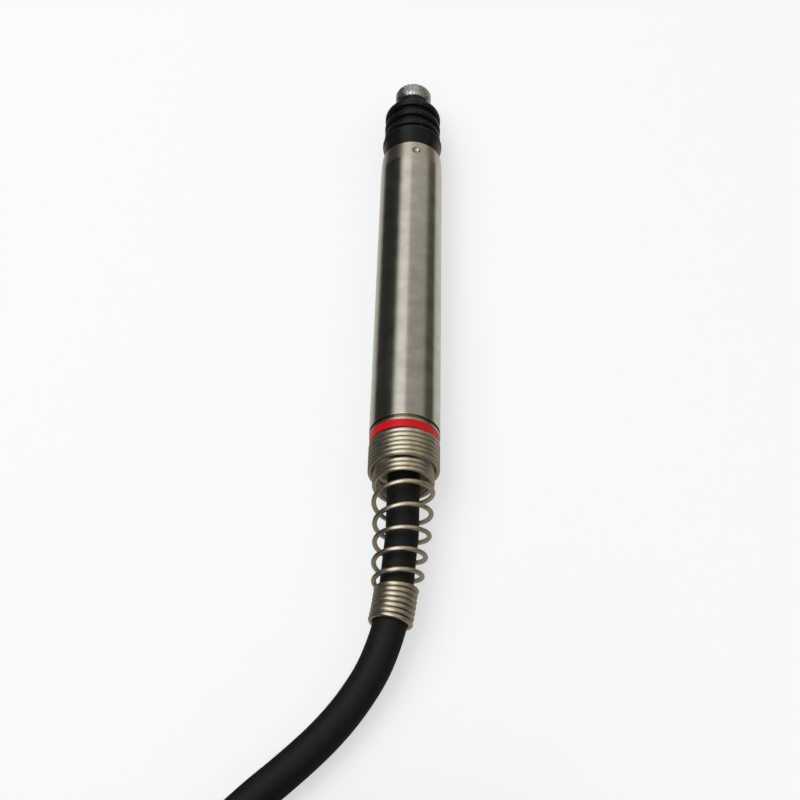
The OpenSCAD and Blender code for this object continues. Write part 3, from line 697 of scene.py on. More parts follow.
@dataclass
class Stem:
    """Ground stem with its nose, guide pin, rear collar and marking ring."""

    radius: float = 4.0
    bore: float = 3.5
    nose: float = 2.8
    nose_radius: float = 3.88
    nose_edge: float = 0.12
    rear: float = -44.75
    band_edge: float = 0.01
    pin_back: float = 1.7
    pin_turn: float = math.radians(8)
    pin_radius: float = 0.55
    pin_rim: float = 3.893
    pin_lip: float = 0.06
    pin_dish: float = 0.2
    pin_shoulder: float = 1.75
    key_radius: float = 0.4
    key_end: float = 1.15
    hole_play: float = 0.03
    hole_span: Point2 = (3.0, 4.5)
    land_front: float = -45.15
    land_rear: float = -45.48
    land_drop: float = 0.02
    groove_depth: float = 0.3
    ring_rear: float = -46.28
    ring_lap: float = 0.2
    ring_drop: float = 0.07
    ring_play: float = 0.02
    ring_edge: float = 0.03
    rear_end: float = -49.82
    seat_radius: float = 3.383
    cable_bore: float = 1.85
    room_radius: float = 2.47
    room_rear: float = -45.0
    spigot_radius: float = 3.48
    spigot_front: float = -41.0
    seal_radius: float = 2.94
    seal_rear: float = -43.4
    seal_front: float = -42.72

    def build(self) -> None:
        """Make every piece of the stem."""
        self._tube()
        self._pin()
        self._collar()
        self._ring()

    def _tube(self) -> None:
        """Tube with a dull nose and a hole for the pin."""
        corners = [
            (self.bore, self.rear, 0.02),
            (self.radius, self.rear, 0.04),
            (self.radius, -self.nose, 0.05),
            (self.nose_radius, 0.0, self.nose_edge),
            (self.bore, 0.0, 0.02),
        ]
        tube = turned("stem_tube", rounded(corners), STEM_AXIS, segments=224)
        low, high = self.hole_span
        hole_r = self.pin_radius + self.hole_play
        hole = self._radial("pin_cutter", [(0, low), (hole_r, low), (hole_r, high), (0, high)])
        cut = tube.modifiers.new("pin_hole", "BOOLEAN")
        cut.object = hole
        cut.solver = "EXACT"
        self._apply(tube)
        bpy.data.objects.remove(hole)
        seat(tube, GROUND_STEEL, Body.BARREL, "body_tube")
        self._band(tube, BLASTED_STEEL, -self.nose - self.band_edge, -self.nose_edge - self.band_edge)

    @staticmethod
    def _apply(piece: bpy.types.Object) -> None:
        """Turn a piece's modifiers into its mesh.

        Args:
            piece: Piece with modifiers.
        """
        graph = bpy.context.evaluated_depsgraph_get()
        mesh = bpy.data.meshes.new_from_object(piece.evaluated_get(graph))
        piece.modifiers.clear()
        piece.data = mesh
        mesh.shade_smooth()
        mesh.set_sharp_from_angle(angle=math.radians(SHARP_DEG))

    @staticmethod
    def _band(piece: bpy.types.Object, finish: Finish, rear: float, front: float) -> None:
        """Give a second finish to the faces between two places along the stem.

        Args:
            piece: Piece that has its first finish.
            finish: What the surface of the band is.
            rear: Rear end of the band.
            front: Its front end.
        """
        piece.data.materials.append(paint(finish))
        for face in piece.data.polygons:
            face.material_index = int(rear < face.center.y / MM - STEM_AXIS.y < front)

    def _radial(self, name: str, outline: Sequence[Point2]) -> bpy.types.Object:
        """Turn an outline round the pin's own axis, which points out of the stem.

        Args:
            name: Name of the piece.
            outline: Radius and distance from the stem's axis of each point.

        Returns:
            The new piece, in place.
        """
        piece = turned(name, outline, Axis(0, 0, 0), segments=48, closed=False)
        place = Matrix.Translation(STEM_AXIS.at(0, -self.pin_back, 0))
        lean = Matrix.Rotation(self.pin_turn, 4, "Y") @ Matrix.Rotation(math.pi / 2, 4, "X")
        piece.data.transform(place @ lean)
        return piece

    def _pin(self) -> None:
        """Guide pin with a dished end, a little below the stem's surface."""
        r, rim, lip = self.pin_radius, self.pin_rim, self.pin_radius - self.pin_lip
        corners = [
            (0, self.key_end, 0),
            (self.key_radius, self.key_end, 0.05),
            (self.key_radius, self.pin_shoulder, 0),
            (r, self.pin_shoulder, 0.03),
            (r, rim, 0.03),
            (lip, rim, 0),
        ]
        outline = rounded(corners, closed=False)
        bottom = rim - self.pin_dish
        outline += [(x, bottom + self.pin_dish * (x / lip) ** 2) for x in np.linspace(lip, 0, num=13)[1:]]
        seat(self._radial("guide_pin_end", outline), BEARING_STEEL, Body.BARREL, "guide_pin")

    def _collar(self) -> None:
        """Rear housing: spigot with its seal groove, neck with painted shade, land and seat of the
        spring.
        """
        top, floor = self.radius - self.land_drop, self.radius - self.groove_depth
        corners = [
            (self.cable_bore, self.rear_end, 0.05),
            (self.seat_radius, self.rear_end, 0.22),
            (self.seat_radius, self.land_rear, 0),
            (top, self.land_rear, 0.05),
            (top, self.land_front, 0.05),
            (floor, self.land_front, 0.02),
            (floor, self.rear, 0),
            (self.spigot_radius, self.rear, 0),
            (self.spigot_radius, self.seal_rear, 0.02),
            (self.seal_radius, self.seal_rear, 0.05),
            (self.seal_radius, self.seal_front, 0.05),
            (self.spigot_radius, self.seal_front, 0.02),
            (self.spigot_radius, self.spigot_front, 0.1),
            (self.room_radius, self.spigot_front, 0.05),
            (self.room_radius, self.room_rear, 0.05),
            (self.cable_bore, self.room_rear, 0.02),
        ]
        collar = turned("rear_collar", rounded(corners), STEM_AXIS, segments=192)
        seat(collar, TURNED_STEEL, Body.BARREL, "rear_housing")
        # The groove in front of the land gets a darker finish: painted shade.
        self._band(collar, GROOVE_PAINTED_SHADE, self.land_front - self.band_edge, self.rear + self.band_edge)

    def _ring(self) -> None:
        """Red marking ring against the land, with its rear under the first coil."""
        outer, inner = self.radius - self.ring_drop, self.seat_radius + self.ring_play
        rear, front = self.ring_rear - self.ring_lap, self.land_rear
        places = [(inner, rear), (outer, rear), (outer, front), (inner, front)]
        outline = rounded([(r, s, self.ring_edge) for r, s in places])
        seat(turned("marking_ring", outline, STEM_AXIS), RED_ACETAL, Body.BARREL, "red_ring")


@dataclass
class ContactPoint:
    """Screw-in contact point with a knurled head, and its ball."""

    head_radius: float = 2.45
    head_rear: float = 11.75
    head_front: float = 13.75
    chamfer: float = 0.2
    rear_chamfer: float = 0.34
    stud_radius: float = 1.2
    stud_rear: float = 7.95
    holder_rear: float = 1.8
    holder_front: float = 1.5
    holder_end: float = 14.25
    ball_radius: float = 1.4
    ball_place: float = 14.35
    ball_play: float = 0.01
    bowl_depth: float = 1.31
    bowl_start: float = 0.1
    diamonds: int = 32
    diamond_len: float = 0.5
    diamond_rows: int = 44
    depth: float = 0.062
    crest_gain: float = 1.3

    def build(self) -> None:
        """Make the holder with its knurl, and the ball."""
        point = turned(
            "contact_point", self._outline(), STEM_AXIS, segments=360, closed=False, shift=self._knurl
        )
        seat(point, KNURLED_STEEL, Body.PLUNGER, "contact_tip")
        r, middle = self.ball_radius, self.ball_place
        arc = [(r * math.sin(a), middle - r * math.cos(a)) for a in np.linspace(0, math.pi, num=49)]
        ball = turned("tip_ball", arc, STEM_AXIS, segments=96, closed=False)
        seat(ball, CARBIDE, Body.PLUNGER, "contact_ball")

    def _outline(self) -> list[Point2]:
        """Draw the stud, the head with rows for its knurl, and the cup for the ball.

        Returns:
            Radius and place of each point, from the stud's end to the bottom of the cup.
        """
        r = self.head_radius
        start, stop = self.head_rear + self.rear_chamfer, self.head_front - self.chamfer
        outline = rounded(
            [
                (0, self.stud_rear, 0),
                (self.stud_radius, self.stud_rear, 0.15),
                (self.stud_radius, self.head_rear, 0.05),
                (r - self.rear_chamfer, self.head_rear, 0.03),
                (r, start, 0),
            ],
            closed=False,
        )
        rows = self.diamond_rows
        outline += [(r, start + (stop - start) * i / rows) for i in range(1, rows)]
        reach, back = self.ball_radius + self.ball_play, self.holder_end - self.ball_place
        cup = math.sqrt(reach**2 - back**2)
        outline += rounded(
            [
                (r, stop, 0),
                (r - self.chamfer, self.head_front, 0.03),
                (self.holder_rear, self.head_front, 0.08),
                (self.holder_front, self.holder_end, 0.06),
                (cup, self.holder_end, 0),
            ],
            closed=False,
        )
        for a in np.linspace(self.bowl_start, math.pi / 2, num=12):
            outline.append((cup * math.cos(a), self.holder_end - self.bowl_depth * math.sin(a)))
        return outline

    def _knurl(self, r: float, s: float, turn: float) -> float:
        """Depth of the diamond knurl: two sets of grooves that cross on the head's side.

        Args:
            r: Radius of a point before the knurl.
            s: Its place along the probe.
            turn: Its turn round the axis.

        Returns:
            Radius to add, which is never above 0.
        """
        if r < self.head_radius - TINY:
            return 0.0
        around, along = self.diamonds * turn / (2 * math.pi), s / self.diamond_len
        height = min(self._crest(around + along), self._crest(around - along))
        return -self.depth * (1 - height)

    def _crest(self, t: float) -> float:
        """Height across one groove, from 0 in the groove to 1 on the flat crest."""
        return min(1.0, self.crest_gain * (1 - abs(2 * (t % 1.0) - 1)))


@dataclass
class Gaiter:
    """Moulded bellows between the stem and the contact point."""

    collar_radius: float = 2.2
    collar_bore: float = 1.52
    collar_len: float = 1.9
    front: float = 11.68
    rib_radius: float = 3.75
    rib_edge: float = 0.42
    valley: float = 3.05
    valley_edge: float = 0.14
    first_rib: float = 4.555
    pitch: float = 1.93
    width: float = 0.95
    ribs: int = 3
    fold_half: float = 0.28
    crest_half: float = 0.08
    wall: float = 0.4
    base_gap: float = 0.02
    base_len: float = 3.35
    base_radius: float = 3.94
    base_foot: float = 3.5
    shoulder: float = 0.35
    waist: float = 3.8
    waist_place: float = 2.4
    bush: float = 2.92
    bush_front: float = 2.62
    bead: float = 2.57
    bead_front: float = 1.68
    bead_rear: float = 0.92
    flash_turn: float = math.radians(18)
    flash_height: float = 0.09
    flash_width: float = 0.08
    flash_inner: float = 2.85
    flash_rear: float = 2.95

    @property
    def collar_rear(self) -> float:
        """Place where the collar meets the last rib."""
        return self.front - self.collar_len

    def build(self) -> None:
        """Make the bellows with its mould line."""
        outline = rounded(self._outer() + self._inner())
        bellows = turned("gaiter_bellows", outline, STEM_AXIS, segments=320, shift=self._flash)
        bend(bellows, GAITER_RUBBER, "gaiter")

    def _outer(self) -> list[Corner]:
        """Draw the outside: flared base, ribs and collar.

        Returns:
            Corners from the stem to the front.
        """
        corners: list[Corner] = [
            (self.base_foot, self.base_gap, 0.03),
            (self.waist, self.waist_place, 0.3),
            (self.base_radius, self.base_len - self.shoulder, 0.2),
            (self.base_radius, self.base_len, 0.2),
            (self.valley, self.base_len, self.valley_edge),
        ]
        for i in range(self.ribs):
            rear = self.first_rib + i * self.pitch - self.width / 2
            ahead = rear + self.width
            corners.append((self.valley, rear, self.valley_edge))
            corners += [(self.rib_radius, s, self.rib_edge) for s in (rear, ahead)]
            if i < self.ribs - 1:
                corners.append((self.valley, ahead, self.valley_edge))
        corners += [(self.collar_radius, self.collar_rear, 0.4), (self.collar_radius, self.front, 0.12)]
        return corners

    def _inner(self) -> list[Corner]:
        """Draw the inside: collar bore, folds, and the bead in the bush's groove.

        Returns:
            Corners from the front to the stem.
        """
        corners: list[Corner] = [
            (self.collar_bore, self.front, 0.03),
            (self.collar_bore, self.collar_rear, 0.1),
        ]
        fold, crest = self.valley - self.wall, self.rib_radius - self.wall
        for i in reversed(range(self.ribs)):
            middle = self.first_rib + i * self.pitch
            corners += [
                (fold, middle + self.fold_half, 0.05),
                (crest, middle + self.crest_half, 0.05),
                (crest, middle - self.crest_half, 0.05),
                (fold, middle - self.fold_half, 0.05),
            ]
        corners += [
            (fold, self.bush_front, 0.05),
            (self.bush, self.bush_front, 0.02),
            (self.bush, self.bead_front, 0.02),
            (self.bead, self.bead_front, 0.05),
            (self.bead, self.bead_rear, 0.05),
            (self.bush, self.bead_rear, 0.02),
            (self.bush, self.base_gap, 0.02),
        ]
        return corners

    def _flash(self, r: float, s: float, turn: float) -> float:
        """Fine ridge that the mould's parting line left along the ribs.

        Args:
            r: Radius of a point before the ridge.
            s: Its place along the probe.
            turn: Its turn round the axis.

        Returns:
            Radius to add.
        """
        if r < self.flash_inner or s < self.flash_rear:
            return 0.0
        ridge = 0.0
        for side in (self.flash_turn, self.flash_turn + math.pi):
            off = (turn - side + math.pi) % (2 * math.pi) - math.pi
            ridge += self.flash_height * math.exp(-((off * r / self.flash_width) ** 2))
        return ridge


# Where the cable leaves the housing, and its route from there to the hank's first turn.
CABLE_EXIT = np.array([0.0, -32.785, 4.0])
CABLE_ROUTE = [
    (0, 7.22, 0), (0, 4, 0), (0, 0, 0), (0, -3, 0), (0, -5.5, 0), (0, -8, -0.1),
    (-0.2, -10.5, -0.3), (-0.38, -13, -0.5), (-0.6, -15.5, -0.8), (-0.98, -18, -1.1),
    (-1.65, -20.5, -1.4), (-2.58, -23, -1.7), (-3.8, -25.3, -1.95), (-5.28, -27.6, -2.1),
    (-7, -29.8, -2.2), (-8.9, -31.9, -2.2), (-11, -34, -2.2), (-13.3, -36.2, -2.2),
    (-15.7, -38.8, -2.2), (-17.7, -41.8, -2.2), (-19.2, -45.2, -2.2), (-20.2, -49, -2.2),
    (-20.8, -53, -2.1), (-21.1, -57, -2), (-21.2, -60.5, -1.9), (-21.2, -64, -1.8),
]
# Route from the hank's last turn to the plug, from the middle of the hank's top.
TAIL_ROUTE = [
    (-18, 16, 1.85), (-18, 8, 2.1), (-18, 0, 2.3), (-18, -8, 2.3), (-18, -16, 2.7),
    (-16, -23.5, 3.4), (-10.5, -29, 4.4), (-3, -31, 5.4), (4.5, -29, 6.3), (10, -23.5, 7),
    (12, -16, 7.25), (12, -12, 7.25), (12, -8, 7.25),
]


# Turns from the strain-relief spring's front, each with the pitch and the radius there: coils close
# together on the housing's seat, a narrower neck, open coils that taper, and a close grip on the cable.
COIL_COURSE = [
    (0, 0.59, 3.735), (5.78, 0.59, 3.735), (6.08, 0.59, 3.17), (8.6, 0.59, 3.17),
    (9.2, 2.8, 3.234), (13.5, 2.1, 2.51), (14.3, 0.57, 2.06), (20.9, 0.57, 2.06),
]


@dataclass
class StrainCoil:
    """Strain-relief spring: one wire along the cable, wound close at both ends and open between."""

    wire_radius: float = 0.265
    wire_sides: int = 14
    steps: int = 48
    front: float = 3.255
    start_turn: float = math.radians(-60)

    def build(self) -> bpy.types.Object:
        """Wind the wire along the cable's own line.

        Returns:
            The new piece.
        """
        marks, pitches, radii = zip(*COIL_COURSE)
        turns = np.arange(0, marks[-1], 1 / self.steps)
        pitch, reach = np.interp(turns, marks, pitches), np.interp(turns, marks, radii)
        advance = np.concatenate([[0], np.cumsum((pitch[1:] + pitch[:-1]) / 2 / self.steps)])
        line = smooth_line(CABLE_ROUTE, step=0.25)
        backs = advance - self.front
        centre = np.stack([np.interp(backs, -line[:, 1], line[:, i]) for i in range(3)], axis=1)
        ahead = unit(np.gradient(centre, axis=0))
        right = unit(np.cross([0, 0, 1], ahead))
        up = np.cross(ahead, right)
        angle = self.start_turn + 2 * np.pi * turns
        outward = np.cos(angle)[:, None] * right + np.sin(angle)[:, None] * up
        middle = CABLE_EXIT + centre + reach[:, None] * outward
        coil = wire("strain_coil", middle, outward, self.wire_radius, self.wire_sides)
        return seat(coil, NICKEL_WIRE, Body.BARREL, "strain_spring")


@dataclass
class Lead:
    """Cable from the housing through its tied hank to the plug."""

    diameter: float = 3.6
    play: float = 0.01
    hank: Point3 = (-3.2, -112.785, 0.4)
    run: float = 32.0
    columns: tuple[float, ...] = (18.0, 14.4, 10.8)
    layers: int = 4
    change_from: float = -5.0
    change_to: float = 15.0
    bulge: float = 1.4
    least_rise: float = 0.1
    top_place: Point2 = (19.3, 15.96)
    run_points: int = 12
    bend_points: int = 20
    tape_width: float = 5.0
    tape_place: float = -10.0
    tape: float = 0.36
    tape_edge: float = 0.1
    tape_low: float = 0.04
    tape_side: float = 0.05
    tape_top: float = 0.02
    tape_corner: float = 1.9
    tape_steps: int = 8

    @property
    def top(self) -> float:
        """Height of the hank's top."""
        return self.hank[2] + self.layers * self.diameter

    def line(self) -> np.ndarray:
        """Draw the middle of the whole cable.

        Returns:
            Points in millimetres.
        """
        incoming = CABLE_EXIT + smooth_line(CABLE_ROUTE, step=1.0)
        middle = np.array([self.hank[0], self.hank[1], 0])
        tail = middle + smooth_line(np.array(TAIL_ROUTE) + [0, 0, self.top], step=1.0)
        return np.vstack([incoming[:-1], self._turns()[:-1], tail])

    def _places(self) -> list[Point2]:
        """List the turns: inwards on one layer, outwards on the next, and one on top.

        Returns:
            Radius and height of each turn.
        """
        places: list[Point2] = []
        for layer in range(self.layers):
            row = self.columns if layer % 2 == 0 else self.columns[::-1]
            places += [(r, self.hank[2] + (layer + 0.5) * self.diameter) for r in row]
        return places + [(self.top_place[0], self.top_place[1] + self.hank[2])]

    def _turns(self) -> np.ndarray:
        """Draw the hank's turns, from the first left run to the start of the tail.

        Returns:
            Points in millimetres.
        """
        places = self._places()
        last = (self.columns[0], self.top + TAIL_ROUTE[0][2])
        half = self.run / 2
        arc = np.linspace(0, math.pi, self.bend_points, endpoint=False)
        found: list[Point3] = []
        for k, ((r, z), (next_r, next_z)) in enumerate(zip(places, places[1:])):
            ends_here = k == len(places) - 2
            found += [(-r, y, z) for y in np.linspace(half, -half, self.run_points, endpoint=False)]
            found += [(-r * math.cos(a), -half - r * math.sin(a), z) for a in arc]
            bulge = 0.0
            if abs(next_z - z) > self.least_rise and not ends_here:
                bulge = self.bulge if r == self.columns[0] else -self.bulge
            for y in np.linspace(-half, half, self.bend_points, endpoint=False):
                s = ease((y - self.change_from) / (self.change_to - self.change_from))
                out = bulge * math.sqrt(max(0.0, 4 * s * (1 - s)))
                found.append((r + (next_r - r) * s + out, y, z + (next_z - z) * s))
            end_r, end_z = last if ends_here else (next_r, next_z)
            for a in arc:
                s = ease(a / math.pi)
                here = next_r + (end_r - next_r) * s
                height = next_z + (end_z - next_z) * s
                found.append((here * math.cos(a), half + here * math.sin(a), height))
        found.append((-last[0], half, last[1]))
        return np.array(found) + [self.hank[0], self.hank[1], 0]

    def build(self) -> tuple[bpy.types.Object, float]:
        """Make the cable as one curve.

        Returns:
            The cable and its length in metres.
        """
        line = self.line() * MM
        curve = bpy.data.curves.new("lead_cable", "CURVE")
        curve.dimensions = "3D"
        curve.bevel_depth = (self.diameter / 2 - self.play) * MM
        curve.bevel_resolution = 6
        curve.use_fill_caps = True
        spline = curve.splines.new("POLY")
        spline.points.add(len(line) - 1)
        spline.points.foreach_set("co", np.hstack([line, np.ones((len(line), 1))]).ravel())
        spline.use_smooth = True
        cable = bpy.data.objects.new("lead_cable", curve)
        bpy.context.scene.collection.objects.link(cable)
        seat(cable, PUR_JACKET, Body.BARREL, "cable", "cable_hank", "cable_tail")
        return cable, float(np.linalg.norm(np.diff(line, axis=0), axis=1).sum())

    def tie(self) -> bpy.types.Object:
        """Make the tape round the hank, as one closed band.

        Returns:
            The new piece.
        """
        half, edge = self.tape_width / 2, self.tape_width / 2 - self.tape_edge
        section = [(0, -half), (0, half), (self.tape, edge), (self.tape, -edge)]
        middle = self.hank[1] + self.tape_place
        ring = self._loop()
        vertices = [
            ((self.hank[0] + x + out_x * d) * MM, (middle + w) * MM, (z + out_z * d) * MM)
            for x, z, out_x, out_z in ring
            for d, w in section
        ]
        faces = ring_faces(len(ring), len(section), closed=True)
        strap = piece_of("hank_strap", vertices, faces, sharp_deg=40.0)
        return seat(strap, TAPE_PILE, Body.BARREL, "hank_tie")

    def _loop(self) -> list[tuple[float, float, float, float]]:
        """Draw the tape's inside: a box with round corners about the hank.

        Returns:
            Place across, height, and the two parts of the outward direction of each point.
        """
        corner = self.tape_corner
        across = self.columns[0] + self.diameter / 2 + self.tape_side - corner
        low, high = self.tape_low + self.tape + corner, self.top + self.tape_top - corner
        centres = [(across, high), (-across, high), (-across, low), (across, low)]
        found = []
        for quarter, (x, z) in enumerate(centres):
            for step in range(self.tape_steps + 1):
                a = math.radians(90 * quarter + 90 * step / self.tape_steps)
                out_x, out_z = math.cos(a), math.sin(a)
                found.append((x + corner * out_x, z + corner * out_z, out_x, out_z))
        return found


@dataclass
class Plug:
    """Round plug on the cable's end: boot, fluted grip, shell, insert and pins."""

    axis: Axis = Axis(8.8, -128.785, 22.05)
    play: float = 0.02
    front: float = 39.0
    boot_bore: float = 1.83
    boot_tip: float = 2.7
    boot_end: float = 4.7
    boot_neck: float = 3.2
    boot_flange: float = 4.4
    flange_len: float = 1.2
    slots: int = 5
    first_slot: float = 1.4
    slot_pitch: float = 1.9
    # Corners of one slot between two rings, from the boot's cone and the slot's rear.
    slot: tuple[Corner, ...] = ((0, 0, 0.15), (-0.55, 0.1, 0.1), (-0.5, 0.7, 0.1), (0.12, 0.8, 0.15))
    grip_rear: float = 12.0
    grip_front: float = 28.0
    grip_radius: float = 7.2
    grip_bore: float = 5.6
    grip_wall: float = 1.5
    cone_radius: float = 5.2
    cone_len: float = 2.2
    flutes: int = 16
    flute_rows: int = 24
    flute_depth: float = 0.34
    flute_land: float = 0.25
    flute_fade: float = 1.0
    rear_margin: float = 3.4
    front_margin: float = 1.4
    shell_radius: float = 6.6
    shell_wall: float = 0.5
    shank_radius: float = 5.58
    shank_len: float = 6.0
    face_len: float = 2.0
    rim: float = 0.7
    rim_slope: float = 0.2
    dish: float = 0.24
    pins: int = 5
    pin_radius: float = 0.725
    pin_circle: float = 3.5
    pin_rear: float = 6.5
    pin_front: float = 9.0

    def build(self) -> list[bpy.types.Object]:
        """Make every piece of the plug.

        Returns:
            The pieces.
        """
        return [self._boot(), self._grip(), self._shell(), self._insert(), self._pins()]

    def _boot(self) -> bpy.types.Object:
        """Make the bend relief, with slots that let it flex and a flange inside the grip.

        Returns:
            The boot.
        """
        end = self.grip_rear - self.play
        corners: list[Corner] = [(self.boot_bore, 0, 0.1), (self.boot_tip, 0, 0.3)]
        for i in range(self.slots):
            s = self.first_slot + i * self.slot_pitch
            r = self.boot_tip + (self.boot_end - self.boot_tip) * s / end
            corners += [(r + out, s + on, edge) for out, on, edge in self.slot]
        flange = self.grip_rear + self.grip_wall + self.play
        corners += [
            (self.boot_end, end, 0.25),
            (self.boot_neck, end, 0.02),
            (self.boot_neck, flange, 0),
            (self.boot_flange, flange, 0.1),
            (self.boot_flange, flange + self.flange_len, 0.1),
            (self.boot_bore, flange + self.flange_len, 0.1),
        ]
        boot = turned("plug_bend_relief", rounded(corners, steps=3), self.axis, segments=96)
        return seat(boot, BOOT_RUBBER, Body.BARREL, "plug_boot")

    def _grip(self) -> bpy.types.Object:
        """Make the grip, with flutes along it.

        Returns:
            The grip.
        """
        r, rear, front = self.grip_radius, self.grip_rear, self.grip_front - self.play
        throat, wall = self.boot_neck + self.play, self.grip_rear + self.grip_wall
        start, stop = self._flute_span()
        outline = rounded(
            [
                (throat, rear, 0.05),
                (self.cone_radius, rear, 0.3),
                (r, rear + self.cone_len, 0.6),
                (r, start, 0),
            ],
            closed=False,
        )
        rows = self.flute_rows
        outline += [(r, start + (stop - start) * i / rows) for i in range(1, rows)]
        outline += rounded(
            [
                (r, stop, 0),
                (r, front, 0.35),
                (self.grip_bore, front, 0.1),
                (self.grip_bore, wall, 0.1),
                (throat, wall, 0),
            ],
            closed=False,
        )
        grip = turned("plug_fluted_grip", outline, self.axis, segments=256, shift=self._flute)
        return seat(grip, SATIN_NICKEL, Body.BARREL, "plug_grip")

    def _flute_span(self) -> Point2:
        """Places where the flutes start and stop."""
        return (self.grip_rear + self.rear_margin, self.grip_front - self.front_margin)

    def _flute(self, r: float, s: float, turn: float) -> float:
        """Depth of the flutes, which fade out at both ends of the grip.

        Args:
            r: Radius of a point before the flutes.
            s: Its place along the plug.
            turn: Its turn round the axis.

        Returns:
            Radius to add, which is never above 0.
        """
        start, stop = self._flute_span()
        if r < self.grip_radius - TINY or not start <= s <= stop:
            return 0.0
        fade = max(0.0, min(1.0, (s - start) / self.flute_fade, (stop - s) / self.flute_fade))
        across = max(0.0, math.cos(self.flutes * turn) - self.flute_land) / (1 - self.flute_land)
        return -self.flute_depth * across * math.sqrt(fade)

    def _shell(self) -> bpy.types.Object:
        """Make the metal shell round the pins, with a rolled mouth and a shank in the grip.

        Returns:
            The shell.
        """
        outer, inner = self.shell_radius, self.shell_radius - self.shell_wall
        shank, shank_bore = self.shank_radius, self.shank_radius - self.shell_wall
        rear, step = self.grip_front - self.shank_len, self.grip_front + self.play
        corners = [
            (shank_bore, rear, 0.05),
            (shank, rear, 0.1),
            (shank, step, 0),
            (outer, step, 0.12),
            (outer, self.front, 0.22),
            (inner, self.front, 0.22),
            (inner, step + self.shell_wall, 0.1),
            (shank_bore, step + self.shell_wall, 0),
        ]
        shell = turned("plug_metal_shell", rounded(corners), self.axis)
        return seat(shell, SATIN_NICKEL, Body.BARREL, "plug_shell")

    def _insert(self) -> bpy.types.Object:
        """Make the insulating insert, with a dished face.

        Returns:
            The insert.
        """
        outer = self.shell_radius - self.shell_wall - self.play
        shank = self.shank_radius - self.shell_wall - self.play
        rear = self.grip_front - self.shank_len
        step = self.grip_front + self.shell_wall + 2 * self.play
        face = step + self.face_len
        corners = [
            (0, rear, 0),
            (shank, rear, 0.2),
            (shank, step, 0),
            (outer, step, 0.1),
            (outer, face, 0.15),
            (outer - self.rim, face, 0.1),
            (outer - self.rim - self.rim_slope, face - self.dish, 0.1),
            (0, face - self.dish, 0),
        ]
        outline = rounded(corners, closed=False)
        insert = turned("plug_insulator", outline, self.axis, segments=128, closed=False)
        return seat(insert, INSERT_PLASTIC, Body.BARREL, "plug_insert")

    def _pins(self) -> bpy.types.Object:
        """Make the contact pins with round ends, over the upper half of the insert.

        Returns:
            The pins as one piece.
        """
        r = self.pin_radius
        rear, front = self.grip_front - self.pin_rear, self.grip_front + self.pin_front
        corners = [(0, rear, 0), (r, rear, 0.1), (r, front, 0.6), (0, front, 0)]
        outline = rounded(corners, closed=False, steps=8)
        vertices: list[Point3] = []
        faces: list[list[int]] = []
        for i in range(self.pins):
            around = math.pi * (0.5 - i / (self.pins - 1))
            x, _, z = self.axis.at(self.pin_circle, 0, around)
            pin = turned("pin", outline, Axis(x / MM, self.axis.y, z / MM), segments=32, closed=False)
            first = len(vertices)
            vertices += [tuple(v.co) for v in pin.data.vertices]
            faces += [[first + v for v in p.vertices] for p in pin.data.polygons]
            bpy.data.objects.remove(pin)
        return seat(piece_of("plug_contact_pins", vertices, faces), GOLD_PLATE, Body.BARREL, "plug_pins")


# Pieces inside the stem that keep the shape of their CAD node, by finish.
KEPT_SHAPES: list[tuple[Finish | Winding, tuple[str, ...]]] = [
    (BEARING_STEEL, ("front_bush", "plunger", "spring_seat")),
    (TURNED_BRASS, ("ball_cage", "crimp_ferrule")),
    (POLISHED_STEEL, ("bearing_balls", "core_rod")),
    (BLACK_STEEL, ("stop_ring",)),
    (NICKEL_IRON, ("core", "shield_tube")),
    (BOBBIN_PLASTIC, ("bobbin",)),
    (Winding(), ("front_secondary_coil", "primary_coil", "rear_secondary_coil")),
    (BOARD_LAMINATE, ("terminal_board",)),
    (GOLD_PLATE, ("solder_pins",)),
    (CORE_PVC, ("core_wires",)),
    (SEAL_RUBBER, ("o_ring",)),
]


@dataclass
class Inside:
    """Everything within the stem: guide, transformer and terminals."""

    spring_radius: float = 2.45
    spring_wire: float = 0.15
    spring_sides: int = 10
    spring_steps: int = 40
    spring_front: float = -14.02
    spring_rear: float = -19.58
    spring_turns: int = 6
    spring_close: float = 0.32

    def build(self, nodes: dict[str, bpy.types.Object]) -> None:
        """Dress the CAD nodes, and wind a smooth return spring.

        Args:
            nodes: CAD nodes of the frame.
        """
        for finish, names in KEPT_SHAPES:
            for name in names:
                dress(nodes[name], finish)
                LOG.info("%s keeps its CAD shape", name)
        self._spring()

    def _spring(self) -> None:
        """Return spring between the stop ring and its seat, with a close turn at each end."""
        count, close = self.spring_turns, self.spring_close
        length = self.spring_front - self.spring_rear
        turns = np.linspace(0, count, count * self.spring_steps + 1)
        marks = [(0, 0), (1, close), (count - 1, length - close), (count, length)]
        angle = 2 * np.pi * turns
        outward = np.stack([np.cos(angle), np.zeros_like(angle), -np.sin(angle)], axis=1)
        line = np.array([STEM_AXIS.x, STEM_AXIS.y, STEM_AXIS.z]) + self.spring_radius * outward
        line[:, 1] += self.spring_front - np.interp(turns, *zip(*marks))
        spring = wire("return_coil", line, outward, self.spring_wire, self.spring_sides)
        bend(spring, SPRING_WIRE, "return_spring")


